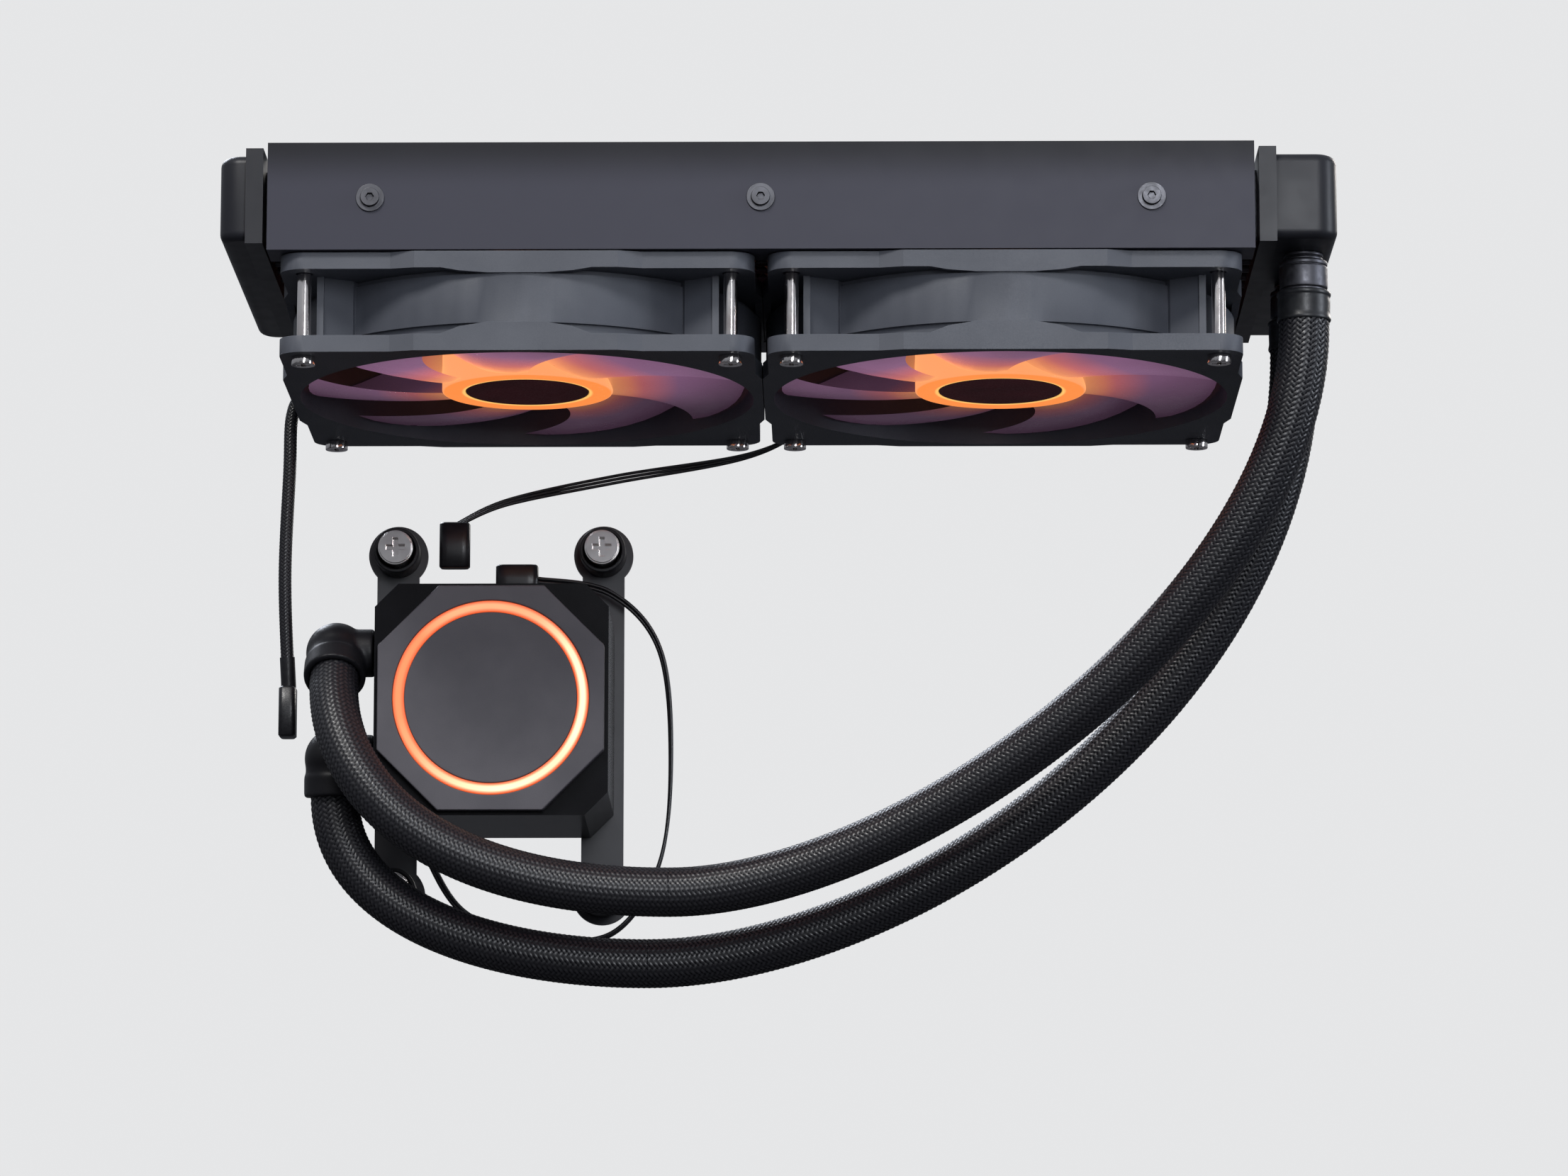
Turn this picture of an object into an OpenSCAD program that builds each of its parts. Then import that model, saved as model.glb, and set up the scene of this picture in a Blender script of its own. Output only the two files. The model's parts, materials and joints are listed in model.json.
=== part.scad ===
// Closed-loop liquid cooler: a 240 mm radiator with two fans, two hoses and a pump head.
// Origin: centre of the radiator's top mounting face. +X runs towards the tank with the hose
// ports, +Y away from the open side of the case, +Z up. All lengths are in millimetres.

/* [Radiator] */
// Thickness of the radiator
rad_t = 27; // [26.5:0.5:28]
// Width of the radiator over its side channels
rad_w = 120; // [120:0.5:122]
// Length of the side channels
channel_l = 242.6; // [242:0.2:243]
// Number of flat coolant tubes
tube_count = 12; // [8:1:12]
// Length of one full wave of the fins
fin_pitch = 8; // [6:0.5:9]
// Spacing of the four screw holes of one fan
hole_pitch = 105; // [104:0.5:106]
// Distance between the fan centres
fan_pitch = 120; // [120:0.2:121]
// Outer end of the tank with the hose ports
port_tank_x = 142; // [141:0.5:143]
// Outer end of the tank without ports
plain_tank_x = 133.5; // [132:0.5:134]

/* [Fans] */
// Width of a fan frame
fan_w = 119.8; // [119.4:0.2:119.8]
// Depth of a fan frame
fan_t = 25; // [25:0.5:26]
// Number of blades on a rotor
blade_count = 7; // [5:1:9]
// Radius of the rotor over its blade tips
blade_r = 55.4; // [54:0.2:56]
// Radius of the rotor hub
hub_r = 21.6; // [21:0.1:22]

/* [Hoses] */
// Outer radius of the braided sleeve
hose_r = 6.3; // [6.2:0.05:6.3]
// Distance of both hose ports from the centre along X
port_x = 134.5; // [134:0.5:135]
// Place of the near port along Y
near_port_y = -38; // [-40:1:-36]
// Place of the far port along Y
far_port_y = -4; // [-6:1:-2]
// Lowest point of the inner hose
inner_low = [-24, 16, -176]; // [-200:0.5:200]
// Lowest point of the outer hose
outer_low = [-30, 34, -192]; // [-200:0.5:200]

/* [Pump head] */
// Centre of the pump head along X
pump_x = -70; // [-72:1:-68]
// Centre of the pump head along Z
pump_z = -125; // [-127:1:-123]
// Width and height of the pump housing
pump_w = 60; // [60:0.5:61]
// Width and height of the octagonal cap
cap_w = 58; // [57:0.5:59]
// Screw spacing of the mounting bars along X
mount_x = 54; // [54:0.5:55]
// Screw spacing of the mounting bars along Z
mount_z = 90; // [89:0.5:91]
// Forward tilt of the upper elbow, in degrees
upper_tilt = 40; // [36:1:42]
// Forward tilt of the lower elbow, in degrees
lower_tilt = -5; // [-8:1:0]
// Distance between the two elbow centres
elbow_pitch = 27.5; // [27:0.5:29]

/* [Hidden] */
$fn = 48;
eps = 0.05;
sheet = 1;
flange_y = 13;
hole_r = 1.5;
fan_thread_r = 1.75;
// core
core_half = 55.5;
tube_w = 2;
tube_d = 18;
tube_l = 249.6;
tube_gap = (2 * core_half - tube_count * tube_w) / (tube_count + 1);
core_z = -rad_t / 2;
header_x0 = 122.5;
header_x1 = 126.8;
header_w = 117;
header_z0 = -25;
header_z1 = -1;
tank_w = 114;
tank_z0 = -23.7;
tank_z1 = -2.3;
tank_wall = 1.2;
tank_round = 5.5;
divider_y = (near_port_y + far_port_y) / 2 + 2.5;
plug_y = 35;
// hose connection at the tank
fitting_r = 3.2;
fitting_bore = 2.4;
fitting_end = -44;
neck_r = 4.9;
neck_gap = 0.05;
ferrule_z = [-25.6, -32.7];
ferrule_r = 6;
collar_z = [-33.4, -40.9];
collar_r = 6.75;
hose_top = -34.4;
bend_top = -41.4;
// hose walls
rubber_r = 5.6;
rubber_bore = 3.8;
sleeve_bore = 5.75;
hose_steps = 18;
// fans
fan_gap = 0.3;
fan_top = -rad_t - fan_gap;
flange_t = 4.2;
duct_bore = 57.4;
duct_r = 58.2;
band_r = 59.4;
band_gap = [1.3, 3];
corner_inset = 1.5;
corner_r = 6;
screw_head_z = fan_top - fan_t;
screw_l = 28.8;
// pump head, measured along Y
cap_y = 22;
housing_y = [25, 67];
bar_y = 67.05;
bar_t = 2;
contact_y = 72;
elbow_c = [-110.5, 36, pump_z];
elbow_reach = 10;
hose_seat = 6;
head_y = 54;
head_t = 3;

// ---------- curves and swept tubes ----------

function unit(v) = v / norm(v);
function bezier(a, b, c, d, t) =
    pow(1 - t, 3) * a + 3 * pow(1 - t, 2) * t * b + 3 * (1 - t) * t * t * c + t * t * t * d;
function spline_point(a, b, c, d, t) =
    0.5 * (2 * b + (c - a) * t + (2 * a - 5 * b + 4 * c - d) * t * t
    + (3 * b - a - 3 * c + d) * t * t * t);
// smooth path through the waypoints w
function smooth_path(w, steps) =
    let (n = len(w) - 1)
    concat([for (i = [0 : n - 1], k = [0 : steps - 1])
        spline_point(w[max(i - 1, 0)], w[i], w[i + 1], w[min(i + 2, n)], k / steps)], [w[n]]);
function tangent(p, i) = unit(p[min(i + 1, len(p) - 1)] - p[max(i - 1, 0)]);
// ring of n points round path point i, square to the path; guide is never along the path
function ring(p, i, r, n, guide) =
    let (t = tangent(p, i), side = unit(cross(t, guide)), up = cross(side, t))
    [for (j = [0 : n - 1]) p[i] + r * (cos(360 * j / n) * side + sin(360 * j / n) * up)];
function wall_faces(rings, n, base, flip) =
    [for (i = [0 : rings - 2], j = [0 : n - 1], k = [0, 1])
        let (a = base + i * n + j, b = base + i * n + (j + 1) % n, c = a + n, d = b + n,
            f = k == 0 ? [a, b, d] : [a, d, c])
        flip ? [f[0], f[2], f[1]] : f];
function end_faces(n, outer, inner, flip) =
    [for (j = [0 : n - 1], k = [0, 1])
        let (a = outer + j, b = outer + (j + 1) % n, c = inner + j, d = inner + (j + 1) % n,
            f = k == 0 ? [a, b, d] : [a, d, c])
        flip ? [f[0], f[2], f[1]] : f];

module solid_sweep(path, r, n, guide = [0, 1, 0]) {
    rings = len(path);
    points = [for (i = [0 : rings - 1]) each ring(path, i, r, n, guide)];
    polyhedron(points, concat(wall_faces(rings, n, 0, false),
        [[for (j = [n - 1 : -1 : 0]) j]], [[for (j = [0 : n - 1]) (rings - 1) * n + j]]), 6);
}

module hollow_sweep(path, r_out, r_in, n, guide = [0, 1, 0]) {
    rings = len(path);
    outer = [for (i = [0 : rings - 1]) each ring(path, i, r_out, n, guide)];
    inner = [for (i = [0 : rings - 1]) each ring(path, i, r_in, n, guide)];
    half = rings * n;
    polyhedron(concat(outer, inner), concat(wall_faces(rings, n, 0, false),
        wall_faces(rings, n, half, true), end_faces(n, 0, half, true),
        end_faces(n, half - n, 2 * half - n, false)), 6);
}

// ---------- plain shapes ----------

module tube(r_out, r_in, h) {
    difference() {
        cylinder(r = r_out, h = h);
        translate([0, 0, -1]) cylinder(r = r_in, h = h + 2);
    }
}

// flat-sided oval w wide and h high, centred
module oval(w, h) {
    square([w, h - w], center = true);
    for (s = [-1, 1]) translate([0, s * (h - w) / 2]) circle(d = w);
}

module rounded_square(w, r) {
    square([w, w - 2 * r], center = true);
    square([w - 2 * r, w], center = true);
    for (x = [-1, 1], y = [-1, 1]) translate([x * (w / 2 - r), y * (w / 2 - r)]) circle(r = r);
}

// square with its four corners cut off by c
module cut_square(w, c) {
    h = w / 2;
    polygon([[-h + c, -h], [h - c, -h], [h, -h + c], [h, h - c],
        [h - c, h], [-h + c, h], [-h, h - c], [-h, -h + c]]);
}

module box(x, y, z) {
    translate([x[0], y[0], z[0]]) cube([x[1] - x[0], y[1] - y[0], z[1] - z[0]]);
}

module cross_recess(w, depth) {
    for (a = [0, 90]) rotate(a) translate([-w / 2, -w / 7, -depth]) cube([w, w / 3.5, depth + 1]);
}

// ---------- radiator ----------

hole_xs = [for (f = [-1, 1], s = [-1, 1]) f * fan_pitch / 2 + s * hole_pitch / 2];
side_screw_xs = [-96, 0, 96];
side_screw_z = -14;

module side_channel() {
    difference() {
        union() {
            box([-channel_l / 2, channel_l / 2], [-rad_w / 2, -rad_w / 2 + sheet], [-rad_t, 0]);
            for (z = [-rad_t, -sheet])
                box([-channel_l / 2, channel_l / 2], [-rad_w / 2, -rad_w / 2 + flange_y],
                    [z, z + sheet]);
        }
        for (x = hole_xs) translate([x, -hole_pitch / 2, 0]) {
            translate([0, 0, -sheet - 1]) cylinder(r = hole_r, h = sheet + 2);
            translate([0, 0, -rad_t - 1]) cylinder(r = fan_thread_r, h = sheet + 2);
        }
        for (x = side_screw_xs) translate([x, -rad_w / 2 - 1, side_screw_z])
            rotate([-90, 0, 0]) cylinder(r = 1.55, h = 3);
    }
}

module front_side_channel() { color("#33343a") side_channel(); }
module rear_side_channel() { color("#33343a") mirror([0, 1, 0]) side_channel(); }

module side_screw() {
    difference() {
        union() {
            translate([0, 0, -0.5]) cylinder(r = 3.5, h = 0.5);
            translate([0, 0, -1.6]) cylinder(r = 2.3, h = 1.5);
            cylinder(r = 1.5, h = 2.6);
        }
        translate([0, 0, -2]) cylinder(r = 1, h = 1.3, $fn = 6);
    }
}

module side_channel_screws() {
    color("#2a2b30") for (m = [0, 1]) mirror([0, m, 0]) for (x = side_screw_xs)
        translate([x, -rad_w / 2, side_screw_z]) rotate([-90, 0, 0]) side_screw();
}

function tube_y(i) = -core_half + tube_gap * (i + 1) + tube_w * (i + 0.5);

module tube_row(x, l, w, h) {
    for (i = [0 : tube_count - 1]) translate([x, tube_y(i), core_z])
        rotate([90, 0, 90]) linear_extrude(l) oval(w, h);
}

module flat_tubes() {
    color("#55565c") difference() {
        tube_row(-tube_l / 2, tube_l, tube_w, tube_d);
        tube_row(-tube_l / 2 - 1, tube_l + 2, tube_w - 0.8, tube_d - 0.8);
    }
}

fin_half = tube_gap / 2 - 0.2;
fin_skin = 0.18;

// one folded strip of fin between two tubes
module fin_strip(l) {
    n = floor(2 * l / fin_pitch);
    function fold(i, s) = [-n * fin_pitch / 4 + i * fin_pitch / 2,
        (i % 2 == 0 ? -1 : 1) * (fin_half - fin_skin) + s * fin_skin];
    polygon(concat([for (i = [0 : n]) fold(i, 1)], [for (i = [n : -1 : 0]) fold(i, -1)]));
}

module cooling_fins() {
    color("#4a4b50") for (i = [0 : tube_count])
        translate([0, -core_half + tube_gap / 2 + i * (tube_gap + tube_w), core_z - 8.5])
            linear_extrude(17) fin_strip(243);
}

module header_plate() {
    difference() {
        box([header_x0, header_x1], [-header_w / 2, header_w / 2], [header_z0, header_z1]);
        box([header_x0 + 1.5, header_x1 + 1], [-header_w / 2 + 1.2, header_w / 2 - 1.2],
            [header_z0 + 1.2, header_z1 - 1.2]);
        tube_row(header_x0 - 1, 4, tube_w + 0.1, tube_d + 0.1);
    }
}

module right_header_plate() { color("#38393f") header_plate(); }
module left_header_plate() { color("#38393f") mirror([1, 0, 0]) header_plate(); }

// plan of a tank from its foot out to x1, w wide, with its two outer corners rounded
module tank_plan(x0, x1, w, r) {
    translate([x0, -w / 2]) square([x1 - x0 - r, w]);
    translate([x0, -w / 2 + r]) square([x1 - x0, w - 2 * r]);
    for (s = [-1, 1]) translate([x1 - r, s * (w / 2 - r)]) intersection() {
        circle(r = r);
        translate([0, -r]) square([r, 2 * r]);
    }
}

module tank_shell(x1) {
    foot = header_x0 + 2.6;
    difference() {
        translate([0, 0, tank_z0]) linear_extrude(tank_z1 - tank_z0)
            tank_plan(foot, x1, tank_w, tank_round);
        translate([0, 0, tank_z0 + tank_wall]) linear_extrude(tank_z1 - tank_z0 - 2 * tank_wall)
            tank_plan(foot - 1, x1 - tank_wall, tank_w - 2 * tank_wall, tank_round - tank_wall);
    }
}

module left_end_tank() { color("#38393f") mirror([1, 0, 0]) tank_shell(plain_tank_x); }

module port_end_tank() {
    color("#38393f") difference() {
        tank_shell(port_tank_x);
        for (y = [near_port_y, far_port_y]) translate([port_x, y, tank_z0 - 1])
            cylinder(r = fitting_r + eps, h = tank_wall + 2);
        translate([port_tank_x - 3, plug_y, core_z]) rotate([0, 90, 0]) cylinder(r = 3.05, h = 5);
    }
}

module tank_divider() {
    color("#8a7a50") box([header_x0 + 3, port_tank_x - tank_wall - eps],
        [divider_y - 0.6, divider_y + 0.6],
        [tank_z0 + tank_wall + eps, tank_z1 - tank_wall - eps]);
}

module fill_plug() {
    color("#202124") translate([port_tank_x, plug_y, core_z]) rotate([0, 90, 0]) difference() {
        union() {
            cylinder(r = 4.5, h = 1.6);
            translate([0, 0, -3]) cylinder(r = 3, h = 3.5);
        }
        translate([0, 0, 0.4]) cylinder(r = 1.8, h = 2, $fn = 6);
    }
}

module at_ports() { for (y = [near_port_y, far_port_y]) translate([port_x, y, 0]) children(); }

module port_fittings() {
    color("#606168") at_ports() {
        translate([0, 0, fitting_end]) tube(fitting_r, fitting_bore, tank_z0 + 2.2 - fitting_end);
        translate([0, 0, ferrule_z[0] + neck_gap])
            tube(neck_r, fitting_bore, tank_z0 - ferrule_z[0] - 2 * neck_gap);
    }
}

module crimp_ferrules() {
    color("#50515a") at_ports() translate([0, 0, ferrule_z[1]])
        tube(ferrule_r, fitting_r + eps, ferrule_z[0] - ferrule_z[1]);
}

module port_collars() {
    color("#26272b") at_ports() difference() {
        translate([0, 0, collar_z[1]]) cylinder(r = collar_r, h = collar_z[0] - collar_z[1]);
        translate([0, 0, collar_z[1] - 1]) cylinder(r = hose_r + 0.1, h = hose_top + 0.1
            - collar_z[1] + 1);
        translate([0, 0, hose_top - 1]) cylinder(r = fitting_r + 0.1, h = 3);
    }
}

// ---------- fans ----------

module fan_at(side) { translate([side * fan_pitch / 2, 0, fan_top]) children(); }

fan_hole = hole_pitch / 2;
arm_count = 4;

// outline of a flange: corners set back, middle of each side standing proud
module flange_plan() {
    h = fan_w / 2;
    rounded_square(fan_w - 2 * corner_inset, corner_r);
    for (a = [0 : 90 : 270]) rotate(a)
        polygon([[-31, -h + 3], [-31, -h + corner_inset], [-25, -h], [25, -h],
            [31, -h + corner_inset], [31, -h + 3]]);
}

// post that joins the two flanges at a corner, with its web to the duct
module post_plan() {
    polygon([[38, 38], [44.6, 41], [48.6, 47.9], [49.6, 47.9], [49.6, 49.6], [47.9, 49.6],
        [47.9, 48.6], [41, 44.6]]);
}

// low gusset of height h on a flange, at the middle of one side
module gusset(h) {
    translate([0, -fan_w / 2 + 1.9, 0]) rotate([90, 0, 0]) linear_extrude(1.9)
        polygon([[-18.5, -1], [-18.5, 0], [-14, 0.6 * h], [-7, h], [7, h], [14, 0.6 * h],
            [18.5, 0], [18.5, -1]]);
}

module fan_shell() {
    band_top = -flange_t - band_gap[0];
    band_low = -fan_t + flange_t + band_gap[1];
    difference() {
        union() {
            for (z = [-flange_t, -fan_t]) translate([0, 0, z]) linear_extrude(flange_t)
                flange_plan();
            translate([0, 0, -fan_t + eps]) cylinder(r = duct_r, h = fan_t - 2 * eps, $fn = 96);
            translate([0, 0, band_low]) cylinder(r = band_r, h = band_top - band_low, $fn = 96);
            for (a = [0 : 90 : 270]) rotate(a) {
                translate([0, 0, -fan_t + 1]) linear_extrude(fan_t - 2) post_plan();
                translate([0, 0, -fan_t + flange_t]) gusset(band_gap[1]);
                translate([0, 0, -flange_t]) mirror([0, 0, 1]) gusset(band_gap[0]);
            }
        }
        translate([0, 0, -fan_t - 1]) cylinder(r = duct_bore, h = fan_t + 2, $fn = 96);
        for (x = [-1, 1], y = [-1, 1]) translate([x * fan_hole, y * fan_hole, -fan_t - 1])
            cylinder(r = 2.15, h = fan_t + 2);
    }
}

module fan_frame() {
    color("#34363d") {
        difference() {
            union() {
                fan_shell();
                translate([0, 0, -2.2]) cylinder(r = 21, h = 2.1);
                for (a = [0 : 360 / arm_count : 359]) rotate(a + 30)
                    box([20, 57.9], [-2.5, 2.5], [-3, -0.2]);
                translate([0, 0, -19]) cylinder(r = 4.6, h = 18);
            }
            translate([0, 0, -20]) cylinder(r = 3.2, h = 18.8);
        }
    }
}

module fan_bearing() { color("#b08d57") translate([0, 0, -18]) tube(3.15, 1.54, 14); }

module fan_stator() {
    color("#b0703c") difference() {
        union() {
            translate([0, 0, -15]) cylinder(r = 7, h = 8);
            for (a = [0 : 90 : 270]) rotate(a) {
                box([5, 15.2], [-1.6, 1.6], [-14, -8]);
                box([8, 13], [-3.4, 3.4], [-15.4, -6.6]);
            }
        }
        translate([0, 0, -16]) cylinder(r = 4.65, h = 10);
    }
}

module fan_led_board() {
    color("#1f5130") union() {
        translate([0, 0, -4.8]) tube(17, 4.7, 1.4);
        for (a = [0 : 45 : 315]) rotate(a) box([13.6, 16.2], [-1.4, 1.4], [-5.6, -4.7]);
    }
}

blade_h = 17;
blade_root = hub_r - 0.8;
// curve of a blade seen along the axis: its angle at radius r
function blade_sweep(r) = 26 * pow((r - blade_root) / (blade_r - blade_root), 1.4);
function polar(r, a) = [r * cos(a), r * sin(a)];

module blade() {
    steps = 6;
    rs = [for (i = [0 : steps]) blade_root + (blade_r - blade_root) * i / steps];
    translate([0, 0, -21.6]) linear_extrude(blade_h, twist = 42, slices = 6,
        segments = 2 * (steps + 1), convexity = 4)
        polygon(concat([for (r = rs) polar(r, blade_sweep(r) - 2.2)],
            [for (i = [steps : -1 : 0]) polar(rs[i], blade_sweep(rs[i]) + 2.2)]));
}

module fan_rotor() {
    color("#6a5560") difference() {
        union() {
            difference() {
                translate([0, 0, -23]) cylinder(r = hub_r, h = 18);
                translate([0, 0, -21.2]) cylinder(r = hub_r - 1.5, h = 20);
            }
            translate([0, 0, -21.5]) cylinder(r = 4, h = 2.1);
            for (i = [0 : blade_count - 1]) rotate(i * 360 / blade_count) blade();
        }
        translate([0, 0, -21.7]) cylinder(r = 1.52, h = 4);
        translate([0, 0, -24]) cylinder(r = 15.7, h = 1.6);
    }
}

module fan_magnet_ring() { color("#222222") translate([0, 0, -18]) tube(hub_r - 1.55, 18.2, 12); }
module fan_shaft() { color("silver") translate([0, 0, -21.6]) cylinder(r = 1.5, h = 18.4); }
module fan_hub_disc() { color("#2a0f0a") translate([0, 0, -22.95]) cylinder(r = 15.6, h = 0.5); }

module fan_left_frame() { fan_at(-1) fan_frame(); }
module fan_left_bearing() { fan_at(-1) fan_bearing(); }
module fan_left_stator() { fan_at(-1) fan_stator(); }
module fan_left_led_board() { fan_at(-1) fan_led_board(); }
module fan_left_rotor() { fan_at(-1) fan_rotor(); }
module fan_left_magnet_ring() { fan_at(-1) fan_magnet_ring(); }
module fan_left_shaft() { fan_at(-1) fan_shaft(); }
module fan_left_hub_disc() { fan_at(-1) fan_hub_disc(); }
module fan_right_frame() { fan_at(1) fan_frame(); }
module fan_right_bearing() { fan_at(1) fan_bearing(); }
module fan_right_stator() { fan_at(1) fan_stator(); }
module fan_right_led_board() { fan_at(1) fan_led_board(); }
module fan_right_rotor() { fan_at(1) fan_rotor(); }
module fan_right_magnet_ring() { fan_at(1) fan_magnet_ring(); }
module fan_right_shaft() { fan_at(1) fan_shaft(); }
module fan_right_hub_disc() { fan_at(1) fan_hub_disc(); }

module fan_left_cable() {
    path = smooth_path([[-113.5, 46, -40], [-120.5, 46, -41], [-123.6, 45, -47], [-124, 44, -62],
        [-125, 46, -90], [-124, 50, -118]], 5);
    color("#141416") {
        solid_sweep(path, 1.6, 8);
        box([-126.4, -121.9], [46.5, 53.5], [-131, -117.9]);
    }
}

module fan_right_cable() {
    path = smooth_path([[12, 53.5, -40], [12, 60, -41], [9, 64, -47], [-6, 65, -54],
        [-40, 65, -60], [-68, 65, -66], [-81, 64, -72]], 5);
    color("#141416") {
        solid_sweep(path, 1.2, 8, [0, 0.4, 1]);
        box([-86, -78], [62, 66], [-84, -71.8]);
    }
}

module fan_screw() {
    difference() {
        union() {
            translate([0, 0, -2.2]) cylinder(r = 2.9, h = 2.2 - eps);
            translate([0, 0, -1]) cylinder(r = fan_thread_r - 0.03, h = screw_l);
        }
        translate([0, 0, -2.2]) mirror([0, 0, 1]) cross_recess(3.2, 1.2);
    }
}

module fan_screws() {
    color("silver") for (x = hole_xs, y = [-1, 1]) translate([x, y * fan_hole, screw_head_z])
        fan_screw();
}

// ---------- hoses ----------

function elbow_centre(k) = elbow_c + [0, 0, k * elbow_pitch / 2];
function elbow_axis(tilt) = [0, -sin(tilt), -cos(tilt)];

// centre line from the tank port down to the lowest point and up into an elbow;
// h holds the four handle lengths of the two curves
function hose_path(port_y, low, elbow, axis, h) =
    let (top = [port_x, port_y, bend_top], mouth = elbow + elbow_reach * axis)
    concat([[port_x, port_y, hose_top]],
        [for (i = [0 : hose_steps]) bezier(top, top - [0, 0, h[0]], low + [h[1], 0, 0], low,
            i / hose_steps)],
        [for (i = [1 : hose_steps]) bezier(low, low - [h[2], 0, 0], mouth + h[3] * axis, mouth,
            i / hose_steps)],
        [elbow + hose_seat * axis]);

inner_path = hose_path(near_port_y, inner_low, elbow_centre(1), elbow_axis(upper_tilt),
    [70, 60, 66, 35]);
outer_path = hose_path(far_port_y, outer_low, elbow_centre(-1), elbow_axis(lower_tilt),
    [90, 64, 40, 30]);

module inner_hose() { color("#101012") hollow_sweep(inner_path, rubber_r, rubber_bore, 12); }
module outer_hose() { color("#101012") hollow_sweep(outer_path, rubber_r, rubber_bore, 12); }
module inner_sleeve() { color("#17181c") hollow_sweep(inner_path, hose_r, sleeve_bore, 16); }
module outer_sleeve() { color("#17181c") hollow_sweep(outer_path, hose_r, sleeve_bore, 16); }

// ---------- pump head ----------

// local frame of the pump head: z runs along +Y of the object, y runs down
module at_pump() { translate([pump_x, 0, pump_z]) rotate([-90, 0, 0]) children(); }

stub_z = elbow_c[1];
face_x = -pump_w / 2;
stub_r = 4.35;
stub_bore = 2.6;
wet = [19, 23, 46];
channel_x = -19.5;
can_r = 8;
can_bore = 6.8;

module housing_block() {
    difference() {
        translate([0, 0, housing_y[0]]) linear_extrude(housing_y[1] - housing_y[0])
            cut_square(pump_w, 6);
        translate([0, 0, housing_y[0] - 1]) cylinder(r = 26, h = 8);
        translate([0, 0, housing_y[0] + 6]) cylinder(r = 18, h = 11);
    }
}

module pump_housing() {
    color("#0b0b0d") at_pump() difference() {
        union() {
            housing_block();
            translate([0, 0, 30]) cylinder(r = can_r, h = 13);
            for (s = [-1, 1]) translate([face_x - 6, s * elbow_pitch / 2, stub_z])
                rotate([0, 90, 0]) cylinder(r = stub_r, h = 7);
        }
        translate([0, 0, 31]) cylinder(r = can_bore, h = 20);
        box([-wet[0], wet[0]], [-wet[1], wet[1]], [wet[2], housing_y[1] + 1]);
        for (s = [-1, 1]) translate([0, s * elbow_pitch / 2, 0]) {
            translate([face_x - 7, 0, stub_z]) rotate([0, 90, 0])
                cylinder(r = stub_bore, h = channel_x - face_x + 7);
            translate([channel_x, 0, stub_z - stub_bore + 0.3]) cylinder(r = stub_bore + 0.4,
                h = wet[2] - stub_z + 4);
            translate([face_x - 3.9, 0, stub_z]) rotate([0, 90, 0]) tube(stub_r + 1, 3.5, 1.8);
        }
        for (x = [-1, 1], y = [-1, 1]) {
            translate([x * 16, y * 26, 60]) cylinder(r = 1.25, h = 8);
            translate([x * mount_x / 2, y * 12, 61]) cylinder(r = 1.25, h = 7);
        }
    }
}

module cap_bezel() {
    color("#47464e") at_pump() translate([0, 0, cap_y]) difference() {
        linear_extrude(2.95) cut_square(cap_w, 15.5);
        translate([0, 0, -1]) cylinder(r = 25.1, h = 5, $fn = 96);
    }
}

module cap_centre_disc() {
    color("#47464e") at_pump() translate([0, 0, cap_y]) cylinder(r = 22.1, h = 1.9, $fn = 96);
}

module light_guide() {
    color("#ff9a4a") at_pump() union() {
        translate([0, 0, cap_y]) tube(25, 22.2, 3);
        translate([0, 0, cap_y + 2]) cylinder(r = 25, h = 1.3);
    }
}

module pump_light_board() {
    color("#1f5130") at_pump() union() {
        translate([0, 0, 26.4]) tube(25, 9, 1.5);
        for (a = [0 : 45 : 315]) rotate(a) box([21.6, 24.4], [-1.5, 1.5], [25.6, 26.5]);
    }
}

module pump_stator() {
    color("#b0703c") at_pump() difference() {
        union() {
            translate([0, 0, 31.5]) tube(17.6, 14.6, 8);
            for (a = [0 : 60 : 300]) rotate(a + 15) {
                box([8.4, 15.2], [-1.6, 1.6], [32.5, 38.5]);
                box([9.8, 13.6], [-3, 3], [30.9, 40.1]);
            }
        }
        translate([0, 0, 28]) cylinder(r = 8.2, h = 16);
    }
}

module impeller() {
    color("#d8d8dc") at_pump() difference() {
        union() {
            translate([0, 0, 33]) cylinder(r = 6, h = 15);
            translate([0, 0, 47.4]) cylinder(r = 14, h = 1.2);
            for (a = [0 : 60 : 300]) rotate(a) rotate(0) translate([0, -3, 0])
                box([4.2, 13], [0, 1.2], [48.5, 53]);
            translate([0, 0, 48]) cylinder(r = 3, h = 5);
        }
        translate([0, 0, 32]) cylinder(r = 1.55, h = 23);
    }
}

module impeller_shaft() { color("silver") at_pump() translate([0, 0, 31.05])
    cylinder(r = 1.5, h = 26.3); }

module volute_plate() {
    color("#303236") at_pump() difference() {
        box([-wet[0] + 0.2, wet[0] - 0.2], [-wet[1] + 0.2, wet[1] - 0.2], [56, 57.4]);
        difference() {
            translate([0, 0, 55]) cylinder(r = 8, h = 4);
            translate([0, 0, 54]) cylinder(r = 3, h = 6);
            for (a = [0, 120, 240]) rotate(a) box([2, 9], [-1, 1], [54, 60]);
        }
        translate([0, 0, 55]) cylinder(r = 1.52, h = 4);
    }
}

plate_half = [20.5, 28.5];

module cold_plate() {
    color("#b8703f") at_pump() difference() {
        union() {
            box([-plate_half[0], plate_half[0]], [-plate_half[1], plate_half[1]],
                [67.8, contact_y]);
            for (i = [0 : 19]) box([-14.25 + 1.5 * i - 0.3, -14.25 + 1.5 * i + 0.3], [-15, 15],
                [62.5, 67.9]);
        }
        for (x = [-1, 1], y = [-1, 1]) translate([x * 16, y * 26, 0]) {
            translate([0, 0, 67]) cylinder(r = 1.3, h = 6);
            translate([0, 0, 70.2]) cylinder(r = 2.1, h = 3);
        }
    }
}

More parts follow.
